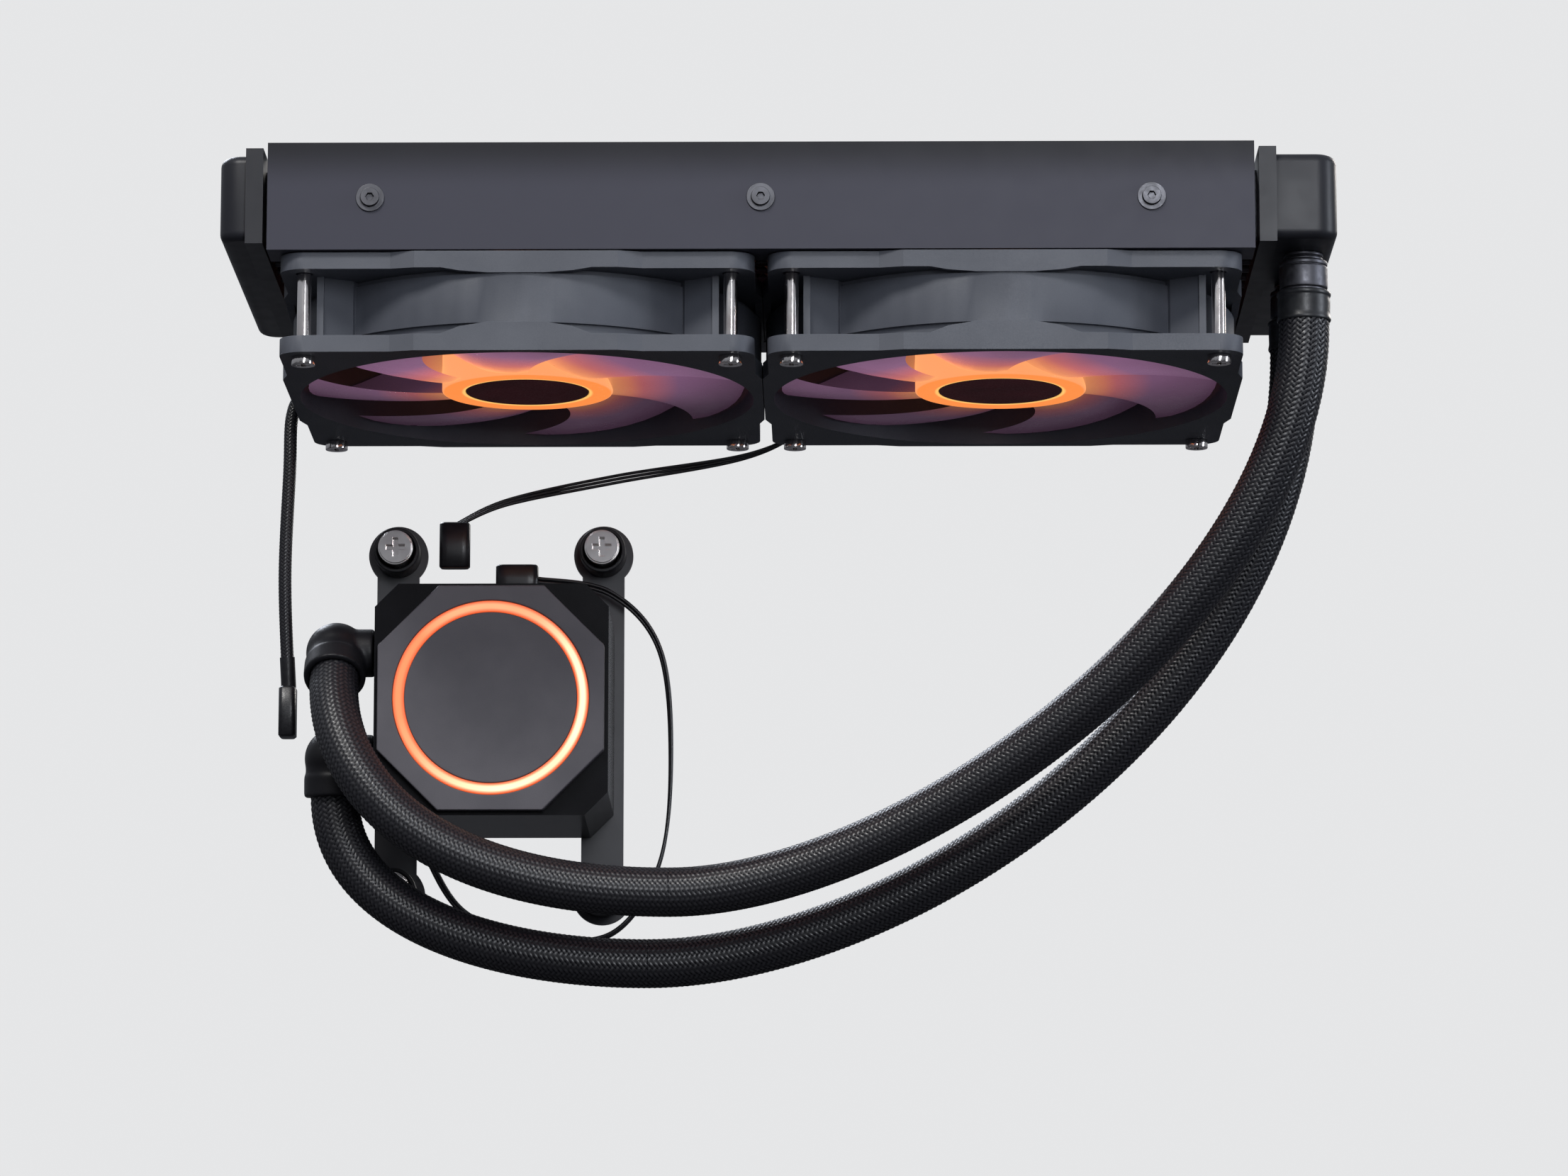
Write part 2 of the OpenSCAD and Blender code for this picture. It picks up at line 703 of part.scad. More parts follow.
module plate_gasket() {
    color("#0c0c0c") at_pump() difference() {
        box([-20.3, 20.3], [-24.3, 24.3], [67.02, 67.78]);
        box([-wet[0], wet[0]], [-wet[1], wet[1]], [66, 69]);
    }
}

module pump_head_screws() {
    color("silver") at_pump() for (x = [-1, 1], y = [-1, 1]) {
        translate([x * 16, y * 26, 0]) union() {
            translate([0, 0, 62]) cylinder(r = 1.2, h = 9);
            translate([0, 0, 70.25]) cylinder(r = 2, h = 1.4);
        }
        translate([x * mount_x / 2, y * 12, 0]) difference() {
            union() {
                translate([0, 0, 62]) cylinder(r = 1.2, h = 8);
                translate([0, 0, bar_y + bar_t + eps]) cylinder(r = 2.3, h = 1.4);
            }
            translate([0, 0, bar_y + bar_t + 1.4]) cross_recess(2.4, 0.8);
        }
    }
}

module mounting_bars() {
    color("#3a3b40") at_pump() translate([0, 0, bar_y]) for (x = [-1, 1])
        translate([x * mount_x / 2, 0, 0]) linear_extrude(bar_t) difference() {
            union() {
                square([11, mount_z], center = true);
                for (y = [-1, 1]) translate([0, y * mount_z / 2]) circle(r = 7.8);
            }
            for (y = [-1, 1]) {
                translate([0, y * mount_z / 2]) circle(r = 2.1);
                translate([0, y * 12]) circle(r = 1.3);
            }
        }
}

// swivel elbow: its socket turns on the pump's stub, its mouth grips the hose
module elbow(tilt) {
    difference() {
        union() {
            rotate([0, 90, 0]) cylinder(r = 6.2, h = 9.8);
            sphere(r = 7.9);
            rotate([-tilt, 0, 0]) {
                translate([0, 0, -5]) cylinder(r = 7.6, h = 5);
                translate([0, 0, -elbow_reach]) tube(8, hose_r + 0.12, 5.4);
                translate([0, 0, -5.8]) cylinder(r = 8, h = 1.4);
                translate([0, 0, -14.5]) cylinder(r = fitting_r, h = 10);
            }
        }
        translate([4.4, 0, 0]) rotate([0, 90, 0]) cylinder(r = stub_r + 0.1, h = 6);
        rotate([0, 90, 0]) cylinder(r = stub_bore, h = 6);
        rotate([-tilt, 0, 0]) {
            translate([0, 0, -16]) cylinder(r = fitting_bore, h = 16);
            translate([0, 0, -16]) tube(hose_r + 0.12, fitting_r, 16.1 - hose_seat);
        }
    }
}

module upper_elbow() { color("#1c1d21") translate(elbow_centre(1)) elbow(upper_tilt); }
module lower_elbow() { color("#1c1d21") translate(elbow_centre(-1)) elbow(lower_tilt); }

module elbow_o_rings() {
    color("#080808") for (k = [-1, 1]) translate([pump_x + face_x - 3, 0, 0])
        translate([0, elbow_centre(k)[1], elbow_centre(k)[2]]) rotate([0, 90, 0])
            rotate_extrude() translate([3.95, 0]) circle(r = 0.42);
}

// ---------- spring screws of the mounting bars ----------

corners = [[-1, -1], [1, -1], [-1, 1], [1, 1]];
module at_corner(i) {
    at_pump() translate([corners[i][0] * mount_x / 2, corners[i][1] * mount_z / 2, 0]) children();
}
cup_y = [58.2, 67];
spring_y = [57.55, 64.95];
spring_r = 3.6;
wire_r = 0.45;

module spring_cups() {
    color("#121214") for (i = [0 : 3]) at_corner(i) difference() {
        translate([0, 0, cup_y[0]]) cylinder(r = 6, h = cup_y[1] - cup_y[0]);
        translate([0, 0, cup_y[0] - 1]) cylinder(r = 5, h = 8.2);
        translate([0, 0, cup_y[0]]) cylinder(r = 2.1, h = 10);
    }
}

module mounting_springs() {
    turns = 4;
    per_turn = 12;
    steps = turns * per_turn;
    path = [for (i = [0 : steps]) [spring_r * cos(360 * i / per_turn),
        spring_r * sin(360 * i / per_turn),
        spring_y[0] + (spring_y[1] - spring_y[0]) * i / steps]];
    color("silver") for (i = [0 : 3]) at_corner(i) solid_sweep(path, wire_r, 6, [0, 0, 1]);
}

module mounting_screw(i) {
    color("silver") at_corner(i) difference() {
        union() {
            translate([0, 0, head_y]) cylinder(r = 4.2, h = head_t);
            translate([0, 0, head_y + 0.6]) cylinder(r = 4.55, h = head_t - 0.6);
            translate([0, 0, head_y + 1]) cylinder(r = 1.9, h = 14.9);
            translate([0, 0, 69.15]) cylinder(r = 3.2, h = 0.8);
            translate([0, 0, 69]) cylinder(r = 1.5, h = 11);
        }
        translate([0, 0, head_y]) mirror([0, 0, 1]) cross_recess(5, 1.8);
    }
}

module mounting_screw_1() { mounting_screw(0); }
module mounting_screw_2() { mounting_screw(1); }
module mounting_screw_3() { mounting_screw(2); }
module mounting_screw_4() { mounting_screw(3); }

module pump_cable() {
    path = smooth_path([[-88, 52, -155.6], [-87, 55, -163], [-78, 59, -176], [-60, 60, -182],
        [-40, 60, -181], [-28, 61, -163], [-25, 62, -135], [-28, 62, -106], [-41, 62, -91],
        [-60, 62, -87.5]], 5);
    color("#141416") {
        solid_sweep(path, 1.2, 8);
        box([-71, -59.9], [60, 64], [-91.5, -83.5]);
    }
}

// ---------- one line per node ----------

front_side_channel();
rear_side_channel();
side_channel_screws();
left_header_plate();
right_header_plate();
left_end_tank();
port_end_tank();
tank_divider();
flat_tubes();
cooling_fins();
port_fittings();
crimp_ferrules();
port_collars();
fill_plug();
fan_left_frame();
fan_left_bearing();
fan_left_stator();
fan_left_led_board();
fan_left_rotor();
fan_left_magnet_ring();
fan_left_shaft();
fan_left_hub_disc();
fan_left_cable();
fan_right_frame();
fan_right_bearing();
fan_right_stator();
fan_right_led_board();
fan_right_rotor();
fan_right_magnet_ring();
fan_right_shaft();
fan_right_hub_disc();
fan_right_cable();
fan_screws();
inner_hose();
inner_sleeve();
outer_hose();
outer_sleeve();
pump_housing();
cap_bezel();
cap_centre_disc();
light_guide();
pump_light_board();
pump_stator();
impeller();
impeller_shaft();
volute_plate();
cold_plate();
plate_gasket();
pump_head_screws();
mounting_bars();
upper_elbow();
lower_elbow();
elbow_o_rings();
spring_cups();
mounting_springs();
mounting_screw_1();
mounting_screw_2();
mounting_screw_3();
mounting_screw_4();
pump_cable();
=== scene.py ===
import json
import math
from collections import namedtuple

import bmesh
import bpy
import numpy as np
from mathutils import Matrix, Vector


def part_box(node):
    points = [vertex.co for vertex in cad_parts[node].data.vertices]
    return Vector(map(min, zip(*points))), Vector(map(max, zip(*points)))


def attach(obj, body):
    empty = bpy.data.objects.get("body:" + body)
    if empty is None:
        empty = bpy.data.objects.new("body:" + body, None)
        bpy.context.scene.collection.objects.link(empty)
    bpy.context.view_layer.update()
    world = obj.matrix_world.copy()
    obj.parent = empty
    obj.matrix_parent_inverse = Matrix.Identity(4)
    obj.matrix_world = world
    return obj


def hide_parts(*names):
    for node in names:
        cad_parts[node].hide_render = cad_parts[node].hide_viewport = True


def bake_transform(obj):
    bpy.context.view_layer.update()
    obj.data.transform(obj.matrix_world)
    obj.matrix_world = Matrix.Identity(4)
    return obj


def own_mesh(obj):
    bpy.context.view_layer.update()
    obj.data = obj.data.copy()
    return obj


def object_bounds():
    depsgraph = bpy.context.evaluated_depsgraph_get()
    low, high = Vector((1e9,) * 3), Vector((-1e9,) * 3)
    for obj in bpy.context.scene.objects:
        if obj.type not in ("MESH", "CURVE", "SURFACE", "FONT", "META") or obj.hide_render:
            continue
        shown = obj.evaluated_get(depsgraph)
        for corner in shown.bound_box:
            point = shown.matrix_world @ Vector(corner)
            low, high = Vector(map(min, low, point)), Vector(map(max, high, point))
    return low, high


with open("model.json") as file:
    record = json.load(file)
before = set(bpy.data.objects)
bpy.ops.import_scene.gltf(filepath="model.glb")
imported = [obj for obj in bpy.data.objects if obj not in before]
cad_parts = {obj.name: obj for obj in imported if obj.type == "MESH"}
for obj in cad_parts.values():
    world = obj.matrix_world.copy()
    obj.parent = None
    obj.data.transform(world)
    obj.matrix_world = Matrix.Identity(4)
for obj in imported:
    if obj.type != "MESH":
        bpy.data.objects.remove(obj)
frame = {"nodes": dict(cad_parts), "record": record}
cad_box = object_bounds()

# Lengths in this script are in millimetres, in the frame of the CAD model.
MM = 0.001
X = Vector((1, 0, 0))
Y = Vector((0, 1, 0))
Z = Vector((0, 0, 1))
TURN = 2 * math.pi
# colour sockets of a Mix node, by their place in its lists of inputs and outputs
MIX_A = 6
MIX_B = 7
MIX_COLOUR = 2

# braided tubes: a strand goes once round the tube in one lead
Braid = namedtuple("Braid", "radius bore relief strands lead")
HOSE_BRAID = Braid(radius=6.3, bore=5.65, relief=0.5, strands=28, lead=37.0)
CABLE_BRAID = Braid(radius=1.7, bore=1.33, relief=0.22, strands=12, lead=11.0)
POINTS_PER_STRAND = 4
# share of the braid's relief that comes from passing over and under, and from a round strand
WEAVE_SHARE = 0.36
STRAND_SHARE = 0.64

# hoses
RUBBER_R = 5.6
RUBBER_BORE = 3.8
# lowest point of each hose, and the pull of its curve at the port, at both sides of the low point
# and at the elbow
INNER_LOW = Vector((-24, 16, -176))
OUTER_LOW = Vector((-30, 34, -192))
INNER_HANDLES = (70, 60, 66, 35)
OUTER_HANDLES = (90, 64, 40, 30)
# elbows: from the centre to the mouth and to the end of the hose inside it
ELBOW_REACH = 10
HOSE_SEAT = 6
ELBOW_MOUTH_R = 8
ELBOW_PITCH = 27.5
ELBOW_VOXEL = 0.3
ELBOW_SOFTENING = 26
UPPER_TILT = math.radians(40)
LOWER_TILT = math.radians(-5)
COLLAR_CAP = 1.0
# bends start this far from the low point, and an elbow's turn is taken up along this much hose
JOIN_CLEAR = 8
SWIVEL_BEND = 17

# port parts, turned round the hose ports
PORT_SIDES = 72
FERRULE_BITE = 0.35
BARB_R = 3.2
BARB_BORE = 2.4

# core and tanks: the edges of a louvre and of a fold are shares of its own height or width
TUBE_COUNT = 12
TUBE_W = 2.0
FIN_WAVE = 3.2
FIN_SKIN = 0.12
FIN_CLEAR = 0.25
LOUVRES = 4
LOUVRE_REACH = 0.32
LOUVRE_EDGE = 0.12
FOLD_EDGE = 0.2
TANK_EDGE = 2.2
TANK_CORNER = 5.5

# fans: a blade runs up from its lower edge, flat at first and then steeper (scoop), is lower at
# the tip than at the hub (tip drop) and leans back on its way out (sweep); its thickness is laid
# off at about 45 degrees (slant)
BLADES = 7
HUB_R = 21.6
HUB_RECESS_R = 15.7
BLADE_TIP_R = 55.4
BLADE_TWIST = math.radians(62)
BLADE_SCOOP = 2.4
BLADE_PHASE = math.radians(16)
BLADE_SWEEP = math.radians(26)
BLADE_CAMBER = 2.4
BLADE_EDGE_T = 0.3
BLADE_BELLY_T = 0.5
BLADE_ROOT_IN = 0.8
BLADE_SLANT = 0.7
BLADE_FOOT = 0.5
BLADE_HEADROOM = 1.3
TIP_DROP = 0.2
SHAFT_R = 1.55

# pump mounting springs, with a share of closed wire at each end
SPRING_R = 3.6
SPRING_WIRE = 0.45
SPRING_TURNS = 5
SPRING_CLOSED = 0.12

# light ring of the pump
RING_R = 23.6
RING_CORE = 0.35
RING_EDGE = 1.35

# cables: shrunk tube at the end of the braided one, the soft edges of the plugs, and for each
# cable its route and the low and high corner of its plug
SHRUNK_POINTS = 36
SHRUNK_PROUD = 0.25
PLUG_EDGE = 0.5
PLUG_SQUARENESS = 1.22
LEFT_CABLE = [(-113.5, 46, -40), (-120.5, 46, -41), (-123.6, 45, -47), (-124, 44, -62),
              (-125, 46, -90), (-124, 50, -118)]
LEFT_PLUG = (Vector((-126.4, 46.5, -131)), Vector((-121.9, 53.5, -117.9)))
RIGHT_CABLE = [(12, 53.5, -40), (12, 60, -41), (9, 64, -47), (-6, 65, -54), (-40, 65, -60),
               (-68, 65, -66), (-81, 64, -72)]
RIGHT_PLUG = (Vector((-86, 62, -84)), Vector((-78, 66, -71.8)))
PUMP_CABLE = [(-88, 52, -155.6), (-87, 55, -163), (-78, 59, -176), (-60, 60, -182),
              (-40, 60, -181), (-28, 61, -163), (-25, 62, -135), (-28, 62, -106), (-41, 62, -91),
              (-60, 62, -87.5)]
PUMP_PLUG = (Vector((-71, 60, -91.5)), Vector((-59.9, 64, -83.5)))

# light colours, linear
GLOW_LINE = (1.0, 0.55, 0.14)
GLOW_RING = (1.0, 0.27, 0.045)
# GLOW_WALL colours the hub wall and is where the painted glow on the blades starts; GLOW_PINK and
# GLOW_MAUVE colour only the painted glow on the blades
GLOW_WALL = (1.0, 0.36, 0.13)
GLOW_PINK = (0.75, 0.17, 0.15)
GLOW_MAUVE = (0.30, 0.14, 0.27)
GLOW_EDGE = (1.0, 0.13, 0.03)
GLOW_LEFT = (1.0, 0.33, 0.12)
GLOW_CORE = (1.0, 0.78, 0.48)

# stage: the floor, the place all lamps point at, and the photographer's eye with a lens that
# fills the picture
FLOOR_Z = -215.0
FLOOR_REACH = 4000.0
LAMP_AIM = Vector((0, 0, -90))
PHOTO_EYE = Vector((21.1, -1601.0, -388.3))
LENS = 148.0


# ---------- places taken from the CAD nodes ----------

def box(node):
    """Low and high corner of a CAD node."""
    low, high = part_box(node)
    return low / MM, high / MM


def centre(node):
    low, high = box(node)
    return (low + high) / 2


# ---------- node materials ----------

class Finish:
    """A node material: one Principled shader and the nodes that drive it."""

    def __init__(self, name, colour, roughness, metallic=0.0):
        self.name = name
        self.material = bpy.data.materials.new(name)
        self.material.use_nodes = True
        self.tree = self.material.node_tree
        self.shader = self.tree.nodes["Principled BSDF"]
        self.place = self.node("TexCoord").outputs["Object"]
        self.set("Base Color", colour)
        self.set("Roughness", roughness)
        self.set("Metallic", metallic)

    def node(self, kind, **settings):
        made = self.tree.nodes.new("ShaderNode" + kind)
        for key, value in settings.items():
            setattr(made, key, value)
        return made

    def plug(self, value, socket):
        if isinstance(value, bpy.types.NodeSocket):
            self.tree.links.new(value, socket)
        elif isinstance(value, (tuple, list)) and len(value) == 3 and len(socket.default_value) == 4:
            socket.default_value = (*value, 1.0)
        else:
            socket.default_value = value

    def set(self, name, value):
        self.plug(value, self.shader.inputs[name])
        return self

    def noise(self, scale, detail=2.0, stretch=(1, 1, 1)):
        """Cloudy noise from 0 to 1; scale is in features per metre."""
        stretched = self.node("Mapping")
        self.plug(self.place, stretched.inputs["Vector"])
        self.plug(stretch, stretched.inputs["Scale"])
        made = self.node("TexNoise")
        self.plug(stretched.outputs["Vector"], made.inputs["Vector"])
        self.plug(scale, made.inputs["Scale"])
        self.plug(detail, made.inputs["Detail"])
        return made.outputs["Fac"]

    def grains(self, scale):
        """Distance to the nearest of many scattered points."""
        made = self.node("TexVoronoi")
        self.plug(self.place, made.inputs["Vector"])
        self.plug(scale, made.inputs["Scale"])
        return made.outputs["Distance"]

    def attribute(self, name):
        return self.node("Attribute", attribute_name=name).outputs["Fac"]

    def math(self, operation, a, b=0.0):
        made = self.node("Math", operation=operation)
        self.plug(a, made.inputs[0])
        self.plug(b, made.inputs[1])
        return made.outputs[0]

    def scale(self, value, low, high, to_low, to_high, smooth=False):
        made = self.node("MapRange", interpolation_type="SMOOTHSTEP" if smooth else "LINEAR")
        for index, item in enumerate((value, low, high, to_low, to_high)):
            self.plug(item, made.inputs[index])
        return made.outputs["Result"]

    def mix(self, factor, a, b):
        made = self.node("Mix", data_type="RGBA")
        self.plug(factor, made.inputs["Factor"])
        self.plug(a, made.inputs[MIX_A])
        self.plug(b, made.inputs[MIX_B])
        return made.outputs[MIX_COLOUR]

    def offset(self, point):
        """Vector from a point of the frame, in metres, to the shaded place."""
        made = self.node("VectorMath", operation="SUBTRACT")
        self.plug(self.place, made.inputs[0])
        made.inputs[1].default_value = tuple(point * MM)
        return made.outputs[0]

    def parts(self, vector):
        return self.node_with(vector, "SeparateXYZ").outputs

    def node_with(self, value, kind, **settings):
        made = self.node(kind, **settings)
        self.plug(value, made.inputs[0])
        return made

    def radius(self, point, axis):
        """Distance in millimetres from the line through point along axis."""
        vector = self.node("VectorMath", operation="MULTIPLY")
        self.plug(self.offset(point), vector.inputs[0])
        vector.inputs[1].default_value = tuple((Vector((1, 1, 1)) - axis) / MM)
        return self.node_with(vector.outputs[0], "VectorMath", operation="LENGTH").outputs["Value"]

    def bump(self, height, depth, under=None):
        """Relief of the given depth in millimetres."""
        made = self.node("Bump")
        self.plug(height, made.inputs["Height"])
        made.inputs["Distance"].default_value = depth * MM
        made.inputs["Strength"].default_value = 1.0
        if under is not None:
            self.plug(under, made.inputs["Normal"])
        return made.outputs["Normal"]

    def worn(self, radius):
        """0 on flat faces and up to 1 along sharp edges."""
        rounded = self.node("Bevel", samples=4)
        rounded.inputs["Radius"].default_value = radius * MM
        shape = self.node("NewGeometry")
        made = self.node("VectorMath", operation="DOT_PRODUCT")
        self.plug(rounded.outputs["Normal"], made.inputs[0])
        self.plug(shape.outputs["True Normal"], made.inputs[1])
        return self.scale(made.outputs["Value"], 0.98, 0.75, 0.0, 1.0)


def moulded(name, colour, lighter, roughness, grain=2600.0, depth=0.012, gloss=0.5):
    """Moulded plastic: fine spark-eroded grain, faint flow marks and rubbed edges."""
    f = Finish(name, colour, roughness)
    f.set("Specular IOR Level", gloss)
    cloud = f.noise(60.0, 3.0)
    grainy = f.noise(grain, 2.0)
    body = f.mix(f.scale(cloud, 0.35, 0.7, 0.0, 0.6), colour, lighter)
    f.set("Base Color", f.mix(f.math("MULTIPLY", f.worn(0.35), 0.5), body, lighter))
    f.set("Roughness", f.scale(grainy, 0.3, 0.7, roughness - 0.07, roughness + 0.09))
    f.set("Normal", f.bump(grainy, depth))
    return f


def painted(name, colour, lighter, roughness):
    """Satin paint on metal: orange-peel skin, dust in the hollows and paler edges."""
    f = Finish(name, colour, roughness)
    peel = f.noise(900.0, 2.0)
    dust = f.noise(35.0, 5.0)
    body = f.mix(f.scale(dust, 0.4, 0.75, 0.0, 0.22), colour, lighter)
    f.set("Base Color", f.mix(f.math("MULTIPLY", f.worn(0.3), 0.7), body, lighter))
    f.set("Roughness", f.scale(f.noise(180.0, 4.0), 0.3, 0.75, roughness - 0.03, roughness + 0.05))
    f.set("Normal", f.bump(peel, 0.012))
    f.set("Coat Weight", 0.05)
    f.set("Coat Roughness", 0.35)
    f.set("Specular IOR Level", 0.35)
    return f


def metal(name, colour, darker, roughness, brush=(1, 1, 1), scale=900.0):
    """Bare metal with fine lines along one direction and faint stains."""
    f = Finish(name, colour, roughness, 1.0)
    lines = f.noise(scale, 3.0, brush)
    stain = f.noise(120.0, 4.0)
    f.set("Base Color", f.mix(f.scale(stain, 0.45, 0.75, 0.0, 0.6), colour, darker))
    f.set("Roughness", f.scale(lines, 0.3, 0.7, roughness * 0.85, roughness * 1.25))
    f.set("Normal", f.bump(lines, 0.0008))
    return f


def channel_steel():
    """Satin black steel with a painted sheen: the base colour is painted lighter on the lower half of
    the sheet than on the folded top.
    """
    low, high = box("front_side_channel")
    f = painted("dark_painted_steel", (0.016, 0.016, 0.020), (0.030, 0.030, 0.036), 0.45)
    rise = f.parts(f.offset(Vector((0, 0, low.z))))["Z"]
    # painted sheen: full on the lower 55% of the sheet, fading to none at the folded top
    painted_sheen = f.scale(rise, 0.55 * (high.z - low.z) * MM, (high.z - low.z) * MM, 1.0, 0.0, True)
    body = f.shader.inputs["Base Color"].links[0].from_socket
    f.set("Base Color", f.mix(f.math("MULTIPLY", painted_sheen, 0.85), body, (0.060, 0.060, 0.080)))
    f.set("Specular IOR Level", 0.15)
    return f


def braid_nylon():
    """Black nylon braid: shiny crowns, dull gaps darkened with painted shade, and a slight change from
    strand to strand.
    """
    f = Finish("braided_nylon", (0.01, 0.01, 0.012), 0.3)
    crown = f.attribute("crown")
    strand = f.attribute("strand")
    # painted shade: the base colour is darker in the gaps than on the crowns
    f.set("Base Color", f.mix(crown, (0.001, 0.001, 0.002), (0.016, 0.016, 0.020)))
    rough = f.math("ADD", f.scale(crown, 0.3, 1.0, 0.6, 0.30), f.math("MULTIPLY", strand, 0.08))
    f.set("Roughness", rough)
    f.set("Normal", f.bump(f.noise(5200.0, 1.0), 0.01))
    facing = f.node("LayerWeight").outputs["Facing"]
    f.set("Specular IOR Level", f.math("MULTIPLY", f.scale(crown, 0.5, 0.95, 0.02, 1.0),
                                       f.scale(facing, 0.7, 0.95, 1.0, 0.0)))
    return f


def soft_rubber(name, colour, roughness, wrinkle=0.05):
    """Rubber or shrunk tube: soft wrinkles across and a fine matt skin."""
    f = Finish(name, colour, roughness)
    wrinkles = f.noise(260.0, 3.0, (1, 1, 2.4))
    skin = f.noise(3500.0, 2.0)
    lighter = tuple(c * 1.9 + 0.004 for c in colour)
    f.set("Base Color", f.mix(f.scale(wrinkles, 0.35, 0.75, 0.0, 0.7), colour, lighter))
    f.set("Roughness", f.scale(skin, 0.3, 0.7, roughness - 0.06, roughness + 0.1))
    f.set("Normal", f.bump(skin, 0.006, f.bump(wrinkles, wrinkle)))
    return f


def smoky_blade(name, axis_point):
    """Smoky see-through plastic with a painted glow on the blades: emission that stands for the light of
    the hub carried outwards, painted strongest on the near side.
    """
    f = Finish(name, (0.10, 0.075, 0.11), 0.24)
    r = f.radius(axis_point, Z)
    flow = f.noise(45.0, 3.0, (1, 1, 0.4))
    tint = f.mix(f.scale(flow, 0.35, 0.7, 0.0, 1.0), (0.10, 0.075, 0.11), (0.15, 0.11, 0.15))
    hub = f.mix(f.scale(r, HUB_RECESS_R + 0.5, HUB_RECESS_R + 1.1, 0.0, 1.0), GLOW_LINE, GLOW_RING)
    hub = f.mix(f.scale(r, HUB_R - 0.6, HUB_R - 0.1, 0.0, 1.0), hub, GLOW_WALL)
    # colour of the painted glow on the blades, from the hub wall's colour out to mauve
    blade = f.mix(f.scale(r, HUB_R, HUB_R + 8.0, 0.0, 1.0), GLOW_WALL, GLOW_PINK)
    blade = f.mix(f.scale(r, HUB_R + 5.0, HUB_R + 17.0, 0.0, 1.0), blade, GLOW_MAUVE)
    outside = f.scale(r, HUB_R + 0.02, HUB_R + 0.2, 0.0, 1.0)
    inside = f.scale(r, HUB_RECESS_R - 0.1, HUB_RECESS_R + 0.1, 0.0, 1.0)
    # painted glow: stronger on the near side of the fan, by place in the world, weaker towards the blade
    # tips and streaked by noise
    across = f.parts(f.node("NewGeometry").outputs["Position"])["Y"]
    near_edge, far_edge = -22.0 * MM, 24.0 * MM
    near = f.scale(across, near_edge, far_edge, 1.0, 0.24, True)
    fade = f.scale(r, HUB_R, BLADE_TIP_R, 0.95, 0.42)
    streak = f.scale(f.noise(30.0, 2.0), 0.3, 0.7, 0.75, 1.15)
    painted_glow = f.math("MULTIPLY", f.math("MULTIPLY", near, fade), streak)
    f.set("Base Color", tint)
    f.set("Roughness", f.scale(f.noise(250.0, 1.0), 0.3, 0.7, 0.26, 0.34))
    # emission: full on the hub's ring and wall, and the painted glow on the blades
    f.set("Emission Color", f.mix(outside, hub, blade))
    f.set("Emission Strength", f.math("ADD", f.math("MULTIPLY", outside, painted_glow),
                                      f.math("MULTIPLY", inside, f.scale(outside, 0, 1, 1.0, 0.0))))
    f.set("Alpha", f.scale(r, HUB_R, HUB_R + 0.4, 1.0, 0.88))
    f.set("Normal", f.bump(f.noise(400.0, 1.0), 0.0004))
    return f


def ring_light():
    """Diffuser of the pump's light ring: hot core, redder edges, brighter down the right side."""
    middle = centre("light_guide")
    f = Finish("ring_light", (0.9, 0.5, 0.3), 0.35)
    r = f.radius(Vector((middle.x, 0, middle.z)), Y)
    across = f.math("ABSOLUTE", f.math("SUBTRACT", r, RING_R))
    core = f.scale(across, RING_CORE, RING_EDGE, 1.0, 0.0, True)
    side = f.parts(f.offset(middle))
    lean = f.math("SUBTRACT", f.math("MULTIPLY", side["X"], 22.0), f.math("MULTIPLY", side["Z"], 14.0))
    patches = f.math("ADD", lean, f.scale(f.noise(38.0, 2.0), 0.3, 0.7, -0.35, 0.45))
    heat = f.scale(patches, -0.6, 0.7, 0.0, 1.0)
    centre_colour = f.mix(heat, GLOW_LEFT, GLOW_CORE)
    f.set("Base Color", (0.25, 0.08, 0.03))
    f.set("Emission Color", f.mix(core, GLOW_EDGE, centre_colour))
    f.set("Emission Strength", f.scale(f.math("MULTIPLY", heat, core), 0.0, 1.0, 0.85, 1.5))
    return f


def circuit_board():
    """Green solder mask with copper traces under it."""
    f = Finish("circuit_board", (0.012, 0.07, 0.028), 0.38)
    cells = f.grains(420.0)
    trace = f.scale(cells, 0.42, 0.46, 0.0, 1.0)
    f.set("Base Color", f.mix(trace, (0.010, 0.062, 0.026), (0.03, 0.14, 0.05)))
    f.set("Normal", f.bump(trace, 0.02))
    f.set("Coat Weight", 0.4)
    return f


def copper_coil():
    """Enamelled copper wire wound in close turns."""
    f = Finish("copper", (0.62, 0.25, 0.10), 0.28, 1.0)
    wire = f.noise(1800.0, 1.0, (1, 1, 5))
    f.set("Base Color", f.mix(f.scale(wire, 0.3, 0.7, 0.0, 1.0), (0.34, 0.10, 0.03), (0.75, 0.33, 0.14)))
    f.set("Normal", f.bump(wire, 0.08))
    return f


def hub_disc():
    """Very dark red-brown disc that lets a trace of the light behind it through."""
    f = moulded("hub_disc", (0.012, 0.003, 0.004), (0.022, 0.006, 0.008), 0.5, gloss=0.15)
    f.set("Emission Color", (1.0, 0.14, 0.22))
    f.set("Emission Strength", f.scale(f.noise(90.0, 2.0), 0.3, 0.7, 0.010, 0.016))
    return f


